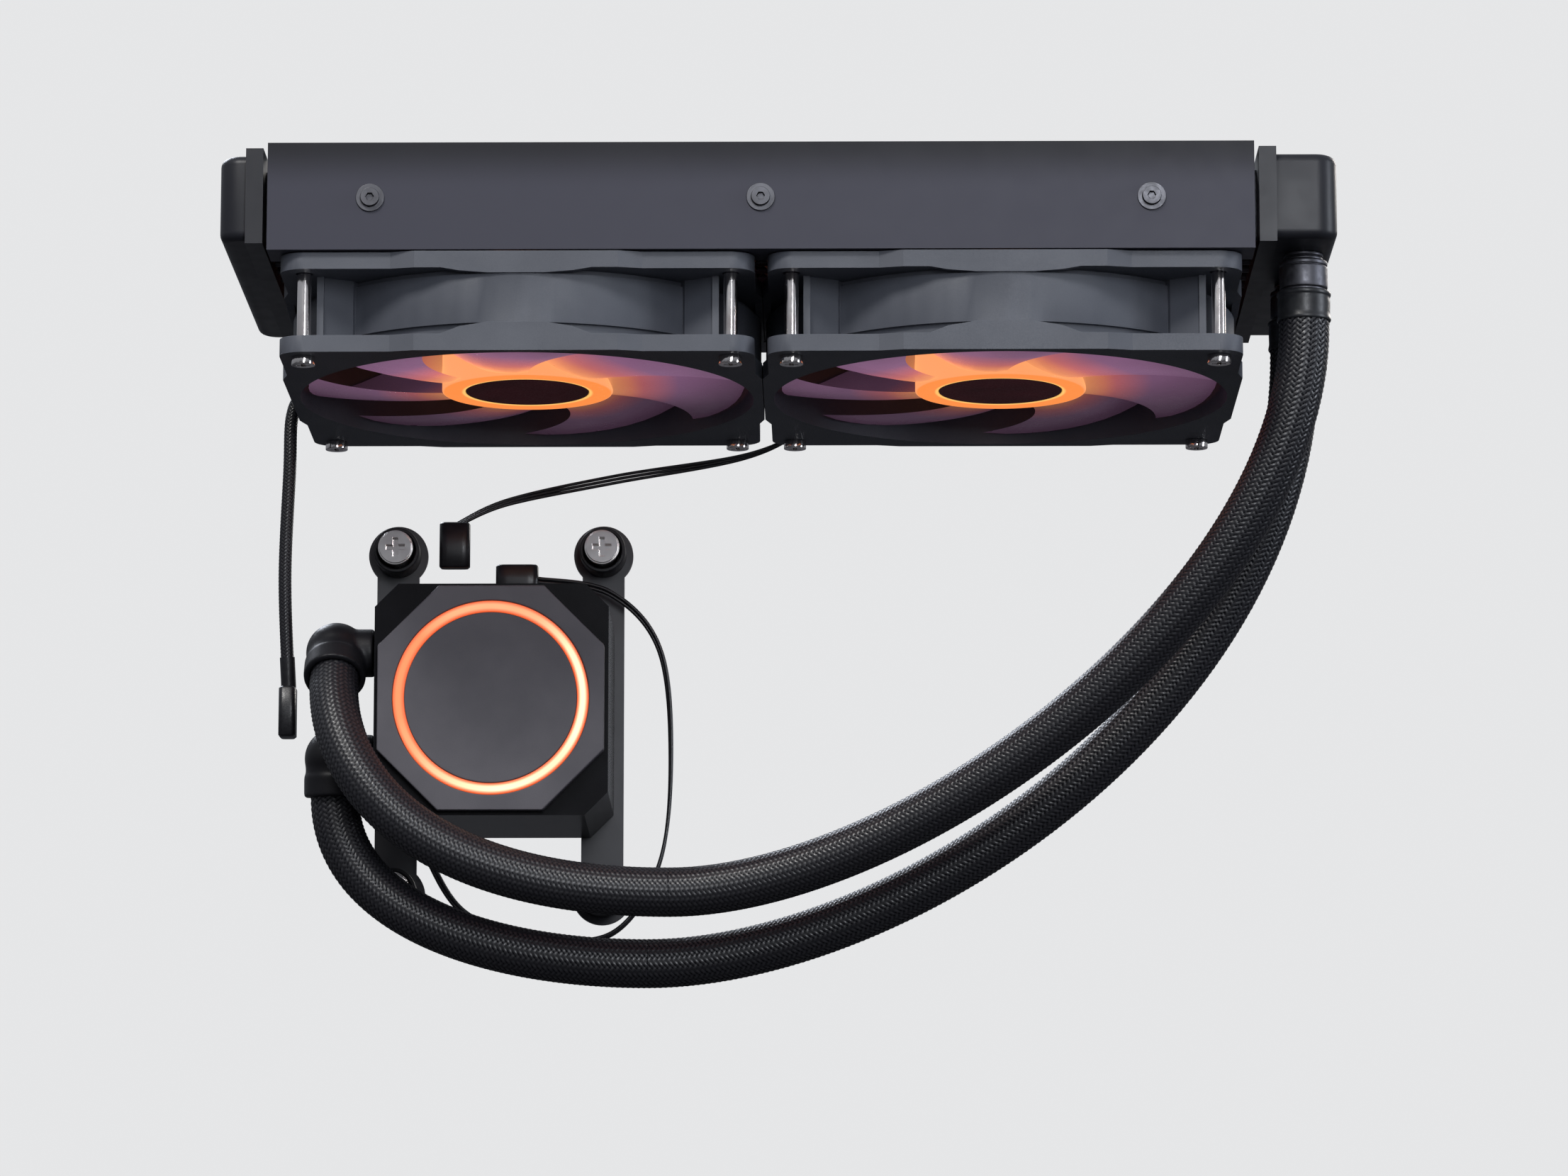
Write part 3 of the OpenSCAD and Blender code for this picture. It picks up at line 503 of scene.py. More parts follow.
def make_finishes():
    """All finishes by name. Most are named after a material slot of the record."""
    made = (
        channel_steel(), braid_nylon(), copper_coil(), circuit_board(), hub_disc(), ring_light(),
        painted("tank_paint", (0.014, 0.0145, 0.019), (0.030, 0.031, 0.038), 0.42),
        painted("bar_steel", (0.042, 0.042, 0.047), (0.10, 0.10, 0.11), 0.4),
        metal("dark_screw", (0.10, 0.10, 0.11), (0.03, 0.03, 0.03), 0.38),
        metal("brass", (0.62, 0.44, 0.19), (0.30, 0.19, 0.08), 0.3),
        metal("ferrule_metal", (0.13, 0.13, 0.145), (0.07, 0.07, 0.08), 0.46),
        metal("core_aluminium", (0.10, 0.10, 0.11), (0.05, 0.05, 0.055), 0.42, (1, 1, 6), 400.0),
        metal("machined_copper", (0.80, 0.40, 0.24), (0.60, 0.26, 0.14), 0.24, (0.15, 1, 6), 700.0),
        metal("shaft_steel", (0.72, 0.72, 0.74), (0.45, 0.45, 0.47), 0.16, (1, 1, 8)),
        metal("chrome_screw", (0.86, 0.82, 0.80), (0.50, 0.42, 0.40), 0.13),
        metal("spring_steel", (0.66, 0.66, 0.68), (0.30, 0.30, 0.31), 0.22),
        soft_rubber("heat_shrink", (0.012, 0.013, 0.015), 0.36),
        soft_rubber("cable_sheath", (0.008, 0.008, 0.010), 0.34, 0.03),
        soft_rubber("hose_rubber", (0.006, 0.006, 0.007), 0.5),
        moulded("frame_plastic", (0.068, 0.074, 0.092), (0.10, 0.107, 0.128), 0.55),
        moulded("white_plastic", (0.70, 0.71, 0.72), (0.85, 0.85, 0.86), 0.38),
        moulded("magnet", (0.03, 0.03, 0.032), (0.07, 0.07, 0.075), 0.6, 1800.0, 0.03),
        moulded("cap_charcoal", (0.064, 0.061, 0.073), (0.105, 0.10, 0.115), 0.55, 3000.0, 0.008),
        moulded("gloss_black", (0.003, 0.003, 0.004), (0.010, 0.010, 0.012), 0.24, 7000.0, 0.0004, 0.1),
        moulded("elbow_plastic", (0.007, 0.007, 0.009), (0.018, 0.018, 0.021), 0.42, 2400.0, 0.004,
                0.25),
    )
    return {finish.name: finish for finish in made}


# ---------- meshes ----------

class Shape:
    """Points in millimetres and faces, gathered from simple building blocks."""

    def __init__(self):
        self.points = []
        self.faces = []

    def add(self, points, faces):
        base = len(self.points)
        self.points.extend(points)
        self.faces.extend([tuple(base + i for i in face) for face in faces])
        return self

    def revolve(self, profile, origin, sides):
        """Turns a closed loop of (radius, height) round the upright axis through origin."""
        count = len(profile)
        points = []
        for k in range(sides):
            a = TURN * k / sides
            for r, h in profile:
                points.append(origin + Vector((r * math.cos(a), r * math.sin(a), h)))
        faces = []
        for k in range(sides):
            here = k * count
            there = (k + 1) % sides * count
            for i in range(count):
                j = (i + 1) % count
                faces.append((here + i, there + i, there + j, here + j))
        return self.add(points, faces)

    def sweep(self, path, radius, sides):
        """A round bar along a path, closed at both ends."""
        angles = [TURN * k / sides for k in range(sides)]
        return self.loft([[p + radius * (math.cos(a) * side + math.sin(a) * up) for a in angles]
                          for p, side, up in frames(path)])

    def loft(self, rings):
        """Skin over closed rings of equal length, with flat ends."""
        size = len(rings[0])
        faces = rings_to_faces(len(rings), size)
        faces.append(tuple(range(size))[::-1])
        faces.append(tuple(range((len(rings) - 1) * size, len(rings) * size)))
        return self.add([p for ring in rings for p in ring], faces)

    def piece(self, name, finish, smooth_angle=40.0):
        mesh = bpy.data.meshes.new(name)
        mesh.from_pydata([tuple(Vector(p) * MM) for p in self.points], [], self.faces)
        tidy(mesh)
        return finished(name, mesh, finish, smooth_angle)


def rings_to_faces(rings, sides):
    faces = []
    for i in range(rings - 1):
        for k in range(sides):
            n = (k + 1) % sides
            faces.append((i * sides + k, i * sides + n, (i + 1) * sides + n, (i + 1) * sides + k))
    return faces


def tidy(mesh):
    """Joins points at one place, drops faces without area and turns all faces outwards."""
    work = bmesh.new()
    work.from_mesh(mesh)
    bmesh.ops.remove_doubles(work, verts=work.verts, dist=1e-7)
    bmesh.ops.dissolve_degenerate(work, edges=work.edges, dist=1e-8)
    bmesh.ops.recalc_face_normals(work, faces=work.faces)
    work.to_mesh(mesh)
    work.free()


def finished(name, mesh, finish, smooth_angle):
    """The mesh as a smooth-shaded piece, sharp along edges over smooth_angle unless that is 0."""
    piece = bpy.data.objects.new(name, mesh)
    bpy.context.scene.collection.objects.link(piece)
    mesh.materials.append(finish.material)
    mesh.polygons.foreach_set("use_smooth", [True] * len(mesh.polygons))
    if smooth_angle:
        mesh.set_sharp_from_angle(angle=math.radians(smooth_angle))
    return piece


def fillet(profile, radius, steps=4):
    """The loop of (r, h) points with each corner replaced by a small curve."""
    rounded = []
    count = len(profile)
    for i in range(count):
        before, here, after = (Vector(profile[(i + k) % count]) for k in (-1, 0, 1))
        reach_a = min(radius, (before - here).length / 2.01)
        reach_b = min(radius, (after - here).length / 2.01)
        if here.x < 0.01 or reach_a < 0.01 or reach_b < 0.01:
            rounded.append(tuple(here))
            continue
        start = here + (before - here).normalized() * reach_a
        end = here + (after - here).normalized() * reach_b
        for k in range(steps + 1):
            t = k / steps
            rounded.append(tuple((1 - t) ** 2 * start + 2 * t * (1 - t) * here + t * t * end))
    return rounded


def frames(path):
    """(point, side, up) along a path, turned as little as possible from one to the next."""
    count = len(path)
    tangents = [(path[min(i + 1, count - 1)] - path[max(i - 1, 0)]).normalized() for i in range(count)]
    side = tangents[0].cross(Y if abs(tangents[0].y) < 0.9 else X).normalized()
    made = []
    for p, t in zip(path, tangents):
        side = (side - t * side.dot(t)).normalized()
        made.append((p, side, t.cross(side)))
    return made


def bezier(a, b, c, d, t):
    s = 1 - t
    return s ** 3 * a + 3 * s * s * t * b + 3 * s * t * t * c + t ** 3 * d


def through(points, steps):
    """Smooth path through the points."""
    points = [Vector(p) for p in points]
    last = len(points) - 1
    path = []
    for i in range(last):
        a, b, c, d = (points[min(max(i + k, 0), last)] for k in (-1, 0, 1, 2))
        for k in range(steps):
            t = k / steps
            path.append(0.5 * (2 * b + (c - a) * t + (2 * a - 5 * b + 4 * c - d) * t * t
                               + (3 * b - a - 3 * c + d) * t ** 3))
    return path + [points[last]]


def even(path, step):
    """The path with points at equal distances of about step."""
    lengths = [0.0]
    for a, b in zip(path, path[1:]):
        lengths.append(lengths[-1] + (b - a).length)
    count = max(2, round(lengths[-1] / step) + 1)
    made = []
    k = 0
    for i in range(count):
        want = lengths[-1] * i / (count - 1)
        while k < len(path) - 2 and lengths[k + 1] < want:
            k += 1
        t = (want - lengths[k]) / (lengths[k + 1] - lengths[k])
        made.append(path[k].lerp(path[k + 1], min(t, 1.0)))
    return made


def stand_for(piece, body, node):
    """piece rides on body and is shown in place of the CAD node, which is hidden."""
    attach(piece, body)
    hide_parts(node)


# ---------- the CAD parts that keep their shape ----------

# faces within FLAT_ANGLE degrees of each other are one face, and edges over EDGE_ANGLE are rounded
WELD_GAP = 0.002
FLAT_ANGLE = 0.5
EDGE_ANGLE = 35
# node: width of the small rounding along its edges
EDGE_ROUNDING = {
    "front_side_channel": 0.45, "rear_side_channel": 0.45, "side_channel_screws": 0.18,
    "left_header_plate": 0.5, "right_header_plate": 0.5, "fill_plug": 0.25,
    "fan_left_frame": 0.35, "fan_right_frame": 0.35, "fan_screws": 0.25,
    "pump_housing": 0.5, "cap_bezel": 0.35, "cap_centre_disc": 0.3, "light_guide": 0.15,
    "mounting_bars": 0.3, "cold_plate": 0.15, "spring_cups": 0.3, "pump_head_screws": 0.15,
    "mounting_screw_1": 0.08, "mounting_screw_2": 0.08, "mounting_screw_3": 0.08,
    "mounting_screw_4": 0.08, "fan_left_hub_disc": 0.15, "fan_right_hub_disc": 0.15,
}


def keep_cad_parts(finishes):
    """Gives each CAD node the finish of its material slot, and rounds its edges."""
    for row in frame["record"]["subparts"]:
        node = row["node"]
        part = frame["nodes"][node]
        if row["material_slot"] == "smoky_blade":
            continue
        finish = finishes["machined_copper" if node == "cold_plate" else row["material_slot"]]
        part.data.materials.clear()
        part.data.materials.append(finish.material)
        if node in EDGE_ROUNDING:
            round_edges(part, EDGE_ROUNDING[node])


def round_edges(part, width):
    weld = part.modifiers.new("weld", "WELD")
    weld.merge_threshold = WELD_GAP * MM
    flat = part.modifiers.new("flat", "DECIMATE")
    flat.decimate_type = "DISSOLVE"
    flat.angle_limit = math.radians(FLAT_ANGLE)
    bevel = part.modifiers.new("bevel", "BEVEL")
    bevel.width = width * MM
    bevel.segments = 3
    bevel.limit_method = "ANGLE"
    bevel.angle_limit = math.radians(EDGE_ANGLE)
    bevel.harden_normals = True


# ---------- hoses ----------

def hose_path(collar_y, low, elbow, tilt, handles):
    """Centre line from the crimp collar down to the lowest point and up into an elbow, with the
    places where it leaves the collar and enters the elbow."""
    collar_low, collar_high = box("port_collars")
    x = centre("port_collars").x
    axis = Vector((0, -math.sin(tilt), -math.cos(tilt)))
    start = Vector((x, collar_y, collar_high.z - COLLAR_CAP))
    top = Vector((x, collar_y, collar_low.z - COLLAR_CAP / 2))
    mouth = elbow + ELBOW_REACH * axis
    steps = 60
    from_port, to_low, from_low, to_elbow = handles
    down = [bezier(top, top - from_port * Z, low + to_low * X, low, i / steps)
            for i in range(steps + 1)]
    up = [bezier(low, low - from_low * X, mouth + to_elbow * axis, mouth, i / steps)
          for i in range(1, steps + 1)]
    path = even([start] + down + up + [elbow + HOSE_SEAT * axis], point_gap(HOSE_BRAID))
    return path, top, mouth


def point_gap(braid):
    """Distance along a braided tube between its rings of points."""
    return braid.lead / braid.strands / POINTS_PER_STRAND


def braid_height(turn, along, braid):
    """Relief of a two-over, two-under braid, 0 to 1, and the shade of the strand on top.
    turn is the place round the tube in turns, along is the distance down it."""
    nudge = 0.001
    a = braid.strands * (along / braid.lead + turn) + nudge
    b = braid.strands * (along / braid.lead - turn) + nudge
    i, j = np.floor(a), np.floor(b)
    lift_a = np.cos(math.pi / 2 * (b - i))
    lift_b = np.cos(math.pi / 2 * (a - j - 3))
    crown_a = np.sqrt(np.clip(1 - (2 * (a - i) - 1) ** 2, 0, 1))
    crown_b = np.sqrt(np.clip(1 - (2 * (b - j) - 1) ** 2, 0, 1))
    high_a = WEAVE_SHARE * lift_a + STRAND_SHARE * crown_a
    high_b = WEAVE_SHARE * lift_b + STRAND_SHARE * crown_b
    shade = np.where(high_a > high_b, np.mod(i * 0.37, 1.0), np.mod(j * 0.61, 1.0))
    return np.clip(np.maximum(high_a, high_b), 0, 1), shade


def ring_points(line, sides, radius):
    """Rings of points round a line of frames; radius is one number or one per point."""
    spin = TURN * np.arange(sides)[None, :, None] / sides
    p, side, up = (np.array([v[k] for v in line])[:, None, :] for k in range(3))
    out = np.cos(spin) * side + np.sin(spin) * up
    return p + np.broadcast_to(radius, (len(line), sides))[:, :, None] * out


def every(line, skip):
    """One in so many items of a list, and its last."""
    last = len(line) - 1
    return [line[i] for i in sorted({*range(0, last, skip), last})]


def double_wall(name, outer, inner, finish, layers=()):
    """Tube with an outer and an inner skin of equal count round, closed at both ends."""
    count, sides = outer.shape[:2]
    rows = inner.shape[0]
    base = count * sides
    faces = rings_to_faces(count, sides)
    faces += [tuple(base + i for i in face[::-1]) for face in rings_to_faces(rows, sides)]
    last_out, last_in = base - sides, base + (rows - 1) * sides
    for k in range(sides):
        n = (k + 1) % sides
        faces.append((n, k, base + k, base + n))
        faces.append((last_out + k, last_out + n, last_in + n, last_in + k))
    points = np.concatenate([outer.reshape(-1, 3), inner.reshape(-1, 3)])
    mesh = bpy.data.meshes.new(name)
    mesh.from_pydata((points * MM).tolist(), [], faces)
    for label, values in layers:
        layer = mesh.attributes.new(label, "FLOAT", "POINT")
        filled = np.concatenate([values.ravel(), np.zeros(rows * sides)])
        layer.data.foreach_set("value", filled.astype(np.float32))
    return finished(name, mesh, finish, 0)


def sleeve(name, line, step, braid, start, skip):
    """Braided tube round a line of frames, which begins at start along the whole tube. The plain
    inner skin takes one ring in skip."""
    sides = braid.strands * POINTS_PER_STRAND
    turn = np.arange(sides)[None, :] / sides
    along = (start + np.arange(len(line)) * step)[:, None]
    height, shade = braid_height(turn, along, braid)
    outer = ring_points(line, sides, braid.radius - braid.relief * (1 - height))
    inner = ring_points(every(line, skip), sides, braid.bore)
    layers = (("crown", height), ("strand", shade))
    return double_wall(name, outer, inner, FINISHES["braided_nylon"], layers)


def rubber_core(name, line):
    sparse = every(line, 8)
    return double_wall(name, ring_points(sparse, 24, RUBBER_R), ring_points(sparse, 24, RUBBER_BORE),
                       FINISHES["hose_rubber"])


def add_hose(name, collar_y, low, elbow, tilt, handles, elbow_body):
    """One hose in two halves that meet at its lowest point."""
    path, top, mouth = hose_path(collar_y, low, elbow, tilt, handles)
    step = (path[1] - path[0]).length
    line = frames(path)
    split = min(range(len(path)), key=lambda i: (path[i] - low).length)
    still = mouth + SWIVEL_BEND * (mouth - elbow).normalized()
    halves = (("upper", line[:split + 1], 0.0, "radiator", "pump_head", top, low + JOIN_CLEAR * X),
              ("lower", line[split:], split * step, "pump_head", elbow_body, still, mouth))
    for label, part, start, body_a, body_b, bend_from, bend_to in halves:
        woven = sleeve(f"{name}_sleeve_{label}", part, step, HOSE_BRAID, start, 24)
        core = rubber_core(f"{name}_hose_{label}", part)
        for piece, slot, node in ((woven, "braided_nylon", f"{name}_sleeve"),
                                  (core, "hose_rubber", f"{name}_hose")):
            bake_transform(piece)
            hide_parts(node)


def elbow_centre(node, sign):
    """Middle of an elbow's ball: level with its stub, half the elbow pitch up or down."""
    middle = centre("elbow_o_rings")
    low = box(node)[0]
    return Vector((low.x + ELBOW_MOUTH_R, middle.y, middle.z + sign * ELBOW_PITCH / 2))


def add_hoses():
    ports = box("port_collars")
    collar_r = (ports[1].x - ports[0].x) / 2
    upper = elbow_centre("upper_elbow", 1)
    lower = elbow_centre("lower_elbow", -1)
    add_hose("inner", ports[0].y + collar_r, INNER_LOW, upper, UPPER_TILT, INNER_HANDLES,
             "upper_elbow_body")
    add_hose("outer", ports[1].y - collar_r, OUTER_LOW, lower, LOWER_TILT, OUTER_HANDLES,
             "lower_elbow_body")


# ---------- ports ----------

def ported(profile, node, finish):
    """The same turned part at both hose ports."""
    low, high = box("port_collars")
    r = (high.x - low.x) / 2
    shape = Shape()
    for y in (low.y + r, high.y - r):
        shape.revolve(profile, Vector((low.x + r, y, 0)), PORT_SIDES)
    piece = shape.piece(node + "_turned", finish, 50)
    stand_for(piece, "radiator", node)


def add_collars():
    """Shrunk tube over the end of the braid: waisted, with a lip at the top."""
    low, high = box("port_collars")
    r = (high.x - low.x) / 2
    bore = HOSE_BRAID.radius + 0.1
    hole = 3.4
    lip = 1.0
    roof = 0.9
    skin = [(r - 0.25, low.z), (r, low.z + 0.4), (r - 0.28, low.z + 1.7), (r - 0.2, high.z - 2.6),
            (r - 0.3, high.z - lip - 0.4), (r, high.z - lip), (r, high.z - 0.25), (r - 0.3, high.z),
            (hole, high.z), (hole, high.z - roof), (bore, high.z - roof), (bore, low.z)]
    ported(fillet(skin, 0.45), "port_collars", FINISHES["heat_shrink"])


def add_ferrules():
    """Crimped metal sleeves with one pressed groove."""
    low, high = box("crimp_ferrules")
    r = (high.x - low.x) / 2
    hole = 3.3
    skirt = 0.65
    groove = high.z - 1.5
    wall = [(r - 0.6, low.z - skirt), (r - 0.6, low.z), (r - 0.15, low.z), (r, low.z + 0.4),
            (r, groove - 0.2), (r - FERRULE_BITE, groove), (r, groove + 0.3), (r, high.z - 0.3),
            (r - 0.5, high.z), (hole, high.z), (hole, low.z - skirt)]
    ported(fillet(wall, 0.3), "crimp_ferrules", FINISHES["ferrule_metal"])


def add_fittings():
    """Hose fittings: a barb inside the hose and a grooved neck under the tank."""
    neck = box("crimp_ferrules")[1].z + 0.05
    low, high = box("port_fittings")
    r = (high.x - low.x) / 2
    top = box("port_end_tank")[0].z - 0.05
    body = [(BARB_R, low.z + 0.8), (BARB_R, neck), (r, neck), (r, neck + 0.55),
            (r - 0.5, neck + 0.8), (r, neck + 1.05), (r, top), (BARB_R, top),
            (BARB_R, high.z), (BARB_BORE, high.z), (BARB_BORE, low.z), (BARB_R - 0.4, low.z)]
    ported(fillet(body, 0.2), "port_fittings", FINISHES["ferrule_metal"])


# ---------- tanks ----------

def tank_ring(foot, end, half, corner, inset, z):
    """Plan of a tank at height z, drawn in by inset on its three free sides."""
    sign = 1 if end > foot else -1
    outer, half, corner = end - sign * inset, half - inset, max(corner - inset, 0.3)
    steps = 12
    ring = [Vector((foot, -half, z))]
    for side in (-1, 1):
        for k in range(steps + 1):
            a = math.pi / 2 * (k / steps if side < 0 else 1 - k / steps)
            ring.append(Vector((outer - sign * corner * (1 - math.sin(a)),
                                side * (half - corner * (1 - math.cos(a))), z)))
    ring.append(Vector((foot, half, z)))
    return ring


def add_tank(node, outward):
    """Pressed tank with soft edges all round."""
    low, high = box(node)
    foot, end = (low.x, high.x) if outward > 0 else (high.x, low.x)
    half = (high.y - low.y) / 2
    steps = 6
    arc = [(TANK_EDGE * (1 - math.sin(a)), TANK_EDGE * (1 - math.cos(a)))
           for a in (math.pi / 2 * k / steps for k in range(steps + 1))]
    levels = [(low.z + rise, inset) for rise, inset in reversed(arc)]
    levels += [(high.z - rise, inset) for rise, inset in arc]
    skins = [tank_ring(foot, end, half, TANK_CORNER, inset, z) for z, inset in levels]
    piece = Shape().loft(skins).piece(node + "_pressed", FINISHES["tank_paint"], 50)
    stand_for(piece, "radiator", node)


# ---------- core ----------

def fin_strip(y0, y1, z0, z1, x0, x1):
    """Points and faces of one folded strip of louvred fin between two tubes. A louvre is the
    middle of a fold, turned by pushing its upper and lower edge apart."""
    folds = 2 * int((x1 - x0) / FIN_WAVE)
    levels = [(z0, 0.0)]
    for k in range(LOUVRES):
        levels += [(z0 + (z1 - z0) * (k + LOUVRE_EDGE) / LOUVRES, LOUVRE_REACH),
                   (z0 + (z1 - z0) * (k + 1 - LOUVRE_EDGE) / LOUVRES, -LOUVRE_REACH)]
    levels.append((z1, 0.0))
    start = (x0 + x1) / 2 - folds * FIN_WAVE / 4
    columns = []
    for i in range(folds):
        a, b = (y0, y1) if i % 2 == 0 else (y1, y0)
        for d in (0.0, FOLD_EDGE, 1 - FOLD_EDGE):
            columns.append((start + (i + d) * FIN_WAVE / 2, a + (b - a) * d, d > 0))
    columns.append((start + folds * FIN_WAVE / 2, y0, False))
    rows, cols = len(levels), len(columns)
    half = rows * cols
    points = []
    for skin in (-FIN_SKIN / 2, FIN_SKIN / 2):
        for x, y, cut in columns:
            points += [Vector((x + (reach if cut else 0) + skin, y, z)) for z, reach in levels]
    faces = []
    for c in range(cols - 1):
        for r in range(rows - 1):
            a, b = c * rows + r, (c + 1) * rows + r
            faces.append((a, b, b + 1, a + 1))
            faces.append((half + a, half + a + 1, half + b + 1, half + b))
        a, b = c * rows, (c + 1) * rows
        faces.append((a, half + a, half + b, b))
        a, b = a + rows - 1, b + rows - 1
        faces.append((a, b, half + b, half + a))
    for a, b in zip(range(rows - 1), range((cols - 1) * rows, cols * rows - 1)):
        faces.append((a, a + 1, half + a + 1, half + a))
        faces.append((b, half + b, half + b + 1, b + 1))
    return points, faces


def add_fins():
    """Strips of louvred fin, one in each gap between the tubes and one outside each end tube."""
    low, high = box("cooling_fins")
    tubes_low, tubes_high = box("flat_tubes")
    gap = (tubes_high.y - tubes_low.y - TUBE_COUNT * TUBE_W) / (TUBE_COUNT - 1)
    shape = Shape()
    for i in range(TUBE_COUNT + 1):
        y = tubes_low.y - gap + i * (gap + TUBE_W)
        shape.add(*fin_strip(y + FIN_CLEAR, y + gap - FIN_CLEAR, low.z, high.z, low.x, high.x))
    mesh = bpy.data.meshes.new("louvred_fins")
    mesh.from_pydata([tuple(p * MM) for p in shape.points], [], shape.faces)
    piece = finished("louvred_fins", mesh, FINISHES["core_aluminium"], 20)
    stand_for(piece, "radiator", "cooling_fins")


# ---------- fans ----------

def blade_ring(r, low_z, high_z, phase):
    """Closed aerofoil section of a blade at radius r, from its lower to its upper edge and back."""
    out = max((r - HUB_R) / (BLADE_TIP_R - HUB_R), 0)
    lean = BLADE_SWEEP * out ** 1.4
    span = (high_z - low_z) * (1 - TIP_DROP * out)
    steps = 12
    ring = []
    for face in (1, -1):
        for k in range(steps + 1) if face > 0 else range(steps - 1, 0, -1):
            c = k / steps
            edge = 1 if 0 < k < steps else 0.2
            thick = face * edge * (BLADE_EDGE_T + BLADE_BELLY_T * math.sin(math.pi * c) ** 0.7)
            camber = BLADE_CAMBER * math.sin(math.pi * c)
            off = BLADE_SLANT * thick
            a = phase + lean - BLADE_TWIST * c + (off - camber) / r
            z = low_z + BLADE_FOOT + c ** BLADE_SCOOP * (span - BLADE_HEADROOM) + off
            ring.append(Vector((r * math.cos(a), r * math.sin(a), z)))
    return ring


def hub_profile(low_z, high_z):
    """Outline of the hub cup, its recess for the badge disc and the boss that holds the shaft."""
    wall, floor, boss, recess = 1.5, 1.8, 4.0, 0.6
    bed, inside, rim = low_z + recess, low_z + floor, low_z + 2 * floor
    return fillet([(0, bed), (HUB_RECESS_R, bed), (HUB_RECESS_R, low_z), (HUB_R, low_z),
                   (HUB_R, high_z), (HUB_R - wall, high_z), (HUB_R - wall, inside), (boss, inside),
                   (boss, rim), (SHAFT_R, rim), (SHAFT_R, inside), (0, inside)], 0.4)


def add_rotor(side):
    """Hub and seven swept, cambered blades moulded in one piece."""
    node = f"fan_{side}_rotor"
    low, high = box(node)
    middle = centre(node)
    axis_point = Vector((middle.x, middle.y, 0))
    shape = Shape().revolve(hub_profile(low.z, high.z - 0.4), axis_point, 96)
    stations = 20
    root_r = HUB_R - BLADE_ROOT_IN
    for i in range(BLADES):
        phase = BLADE_PHASE + TURN * i / BLADES
        rings = []
        for k in range(stations + 1):
            r = root_r + (BLADE_TIP_R - root_r) * k / stations
            ring = blade_ring(r, low.z + 0.2, high.z - 0.2, phase)
            rings.append([p + axis_point for p in ring])
        shape.loft(rings)
    finish = smoky_blade(f"smoky_blade_{side}", axis_point)
    piece = shape.piece(node + "_moulded", finish, 35)
    stand_for(piece, f"fan_{side}_rotor_body", node)


# ---------- elbows and springs ----------

def add_elbow(node):
    """The CAD elbow melted together into one smooth moulding."""
    mesh = frame["nodes"][node].data.copy()
    mesh.name = node + "_moulding"
    mesh.materials.clear()
    tidy(mesh)
    piece = finished(node + "_moulding", mesh, FINISHES["elbow_plastic"], 0)
    remesh = piece.modifiers.new("remesh", "REMESH")
    remesh.mode = "VOXEL"
    remesh.voxel_size = ELBOW_VOXEL * MM
    remesh.use_smooth_shade = True
    smooth = piece.modifiers.new("smooth", "SMOOTH")
    smooth.factor = 0.5
    smooth.iterations = ELBOW_SOFTENING
    stand_for(piece, node + "_body", node)


def add_spring(number):
    """One coil spring with closed ends round its mounting screw."""
    screw = centre(f"mounting_screw_{number}")
    low, high = box("mounting_springs")
    start, end = low.y + SPRING_WIRE, high.y - SPRING_WIRE
    path = []
    steps = SPRING_TURNS * 28
    for i in range(steps + 1):
        t = i / steps
        rise = min(max((t - SPRING_CLOSED) / (1 - 2 * SPRING_CLOSED), 0), 1)
        a = TURN * SPRING_TURNS * t
        path.append(Vector((screw.x + SPRING_R * math.cos(a), start + (end - start) * rise,
                            screw.z + SPRING_R * math.sin(a))))
    piece = Shape().sweep(path, SPRING_WIRE, 14).piece(f"spring_{number}", FINISHES["spring_steel"])
    stand_for(piece, "pump_head", "mounting_springs")
    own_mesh(piece)


# ---------- cables ----------

def wires(path, count, gap, radius, turns):
    """Wires side by side along a path, turning round each other the given number of times."""
    shape = Shape()
    line = frames(path)
    for w in range(count):
        wire = []
        for i, (p, side, up) in enumerate(line):
            a = TURN * turns * i / len(line)
            off = (w - (count - 1) / 2) * gap
            wire.append(p + off * (math.cos(a) * side + math.sin(a) * up))
        shape.sweep(wire, radius, 12)
    return shape


def plug_body(low, high):
    """Rings of a small connector housing: a block with softened edges and rounded corners."""
    size, mid = high - low, (low + high) / 2
    sides = 24
    skins = []
    for z, inset in ((low.z, PLUG_EDGE), (low.z + PLUG_EDGE, 0), (high.z - PLUG_EDGE, 0),
                     (high.z, PLUG_EDGE)):
        ring = []
        for k in range(sides):
            a = TURN * (k + 0.5) / sides
            squeeze = [max(-1, min(1, PLUG_SQUARENESS * c)) for c in (math.cos(a), math.sin(a))]
            ring.append(Vector((mid.x + (size.x / 2 - inset) * squeeze[0],
                                mid.y + (size.y / 2 - inset) * squeeze[1], z)))
        skins.append(ring)
    return skins


def add_cable(node, body, points, plug, count, gap, radius, turns):
    """Bare wires side by side along the points, with a plug at the end."""
    path = even(through(points, 14), 0.8)
    shape = wires(path, count, gap, radius, turns)
    shape.loft(plug_body(*plug))
    piece = shape.piece(node + "_wires", FINISHES["cable_sheath"], 50)
    stand_for(piece, body, node)


def add_sleeved_cable():
    """Cable of the left fan: wires in a small braided sleeve that ends in shrunk tube and a plug."""
    path = even(through(LEFT_CABLE, 24), point_gap(CABLE_BRAID))
    step = (path[1] - path[0]).length
    woven = sleeve("fan_left_cable_sleeve", frames(path), step, CABLE_BRAID, 0.0, 12)
    stand_for(woven, "radiator", "fan_left_cable")
    shape = wires(path[::6], count=3, gap=0.7, radius=0.35, turns=3.0)
    shape.sweep(path[-SHRUNK_POINTS:], CABLE_BRAID.radius + SHRUNK_PROUD, 20)
    shape.loft(plug_body(*LEFT_PLUG))
    piece = shape.piece("fan_left_cable_wires", FINISHES["cable_sheath"], 50)
    stand_for(piece, "radiator", "fan_left_cable")


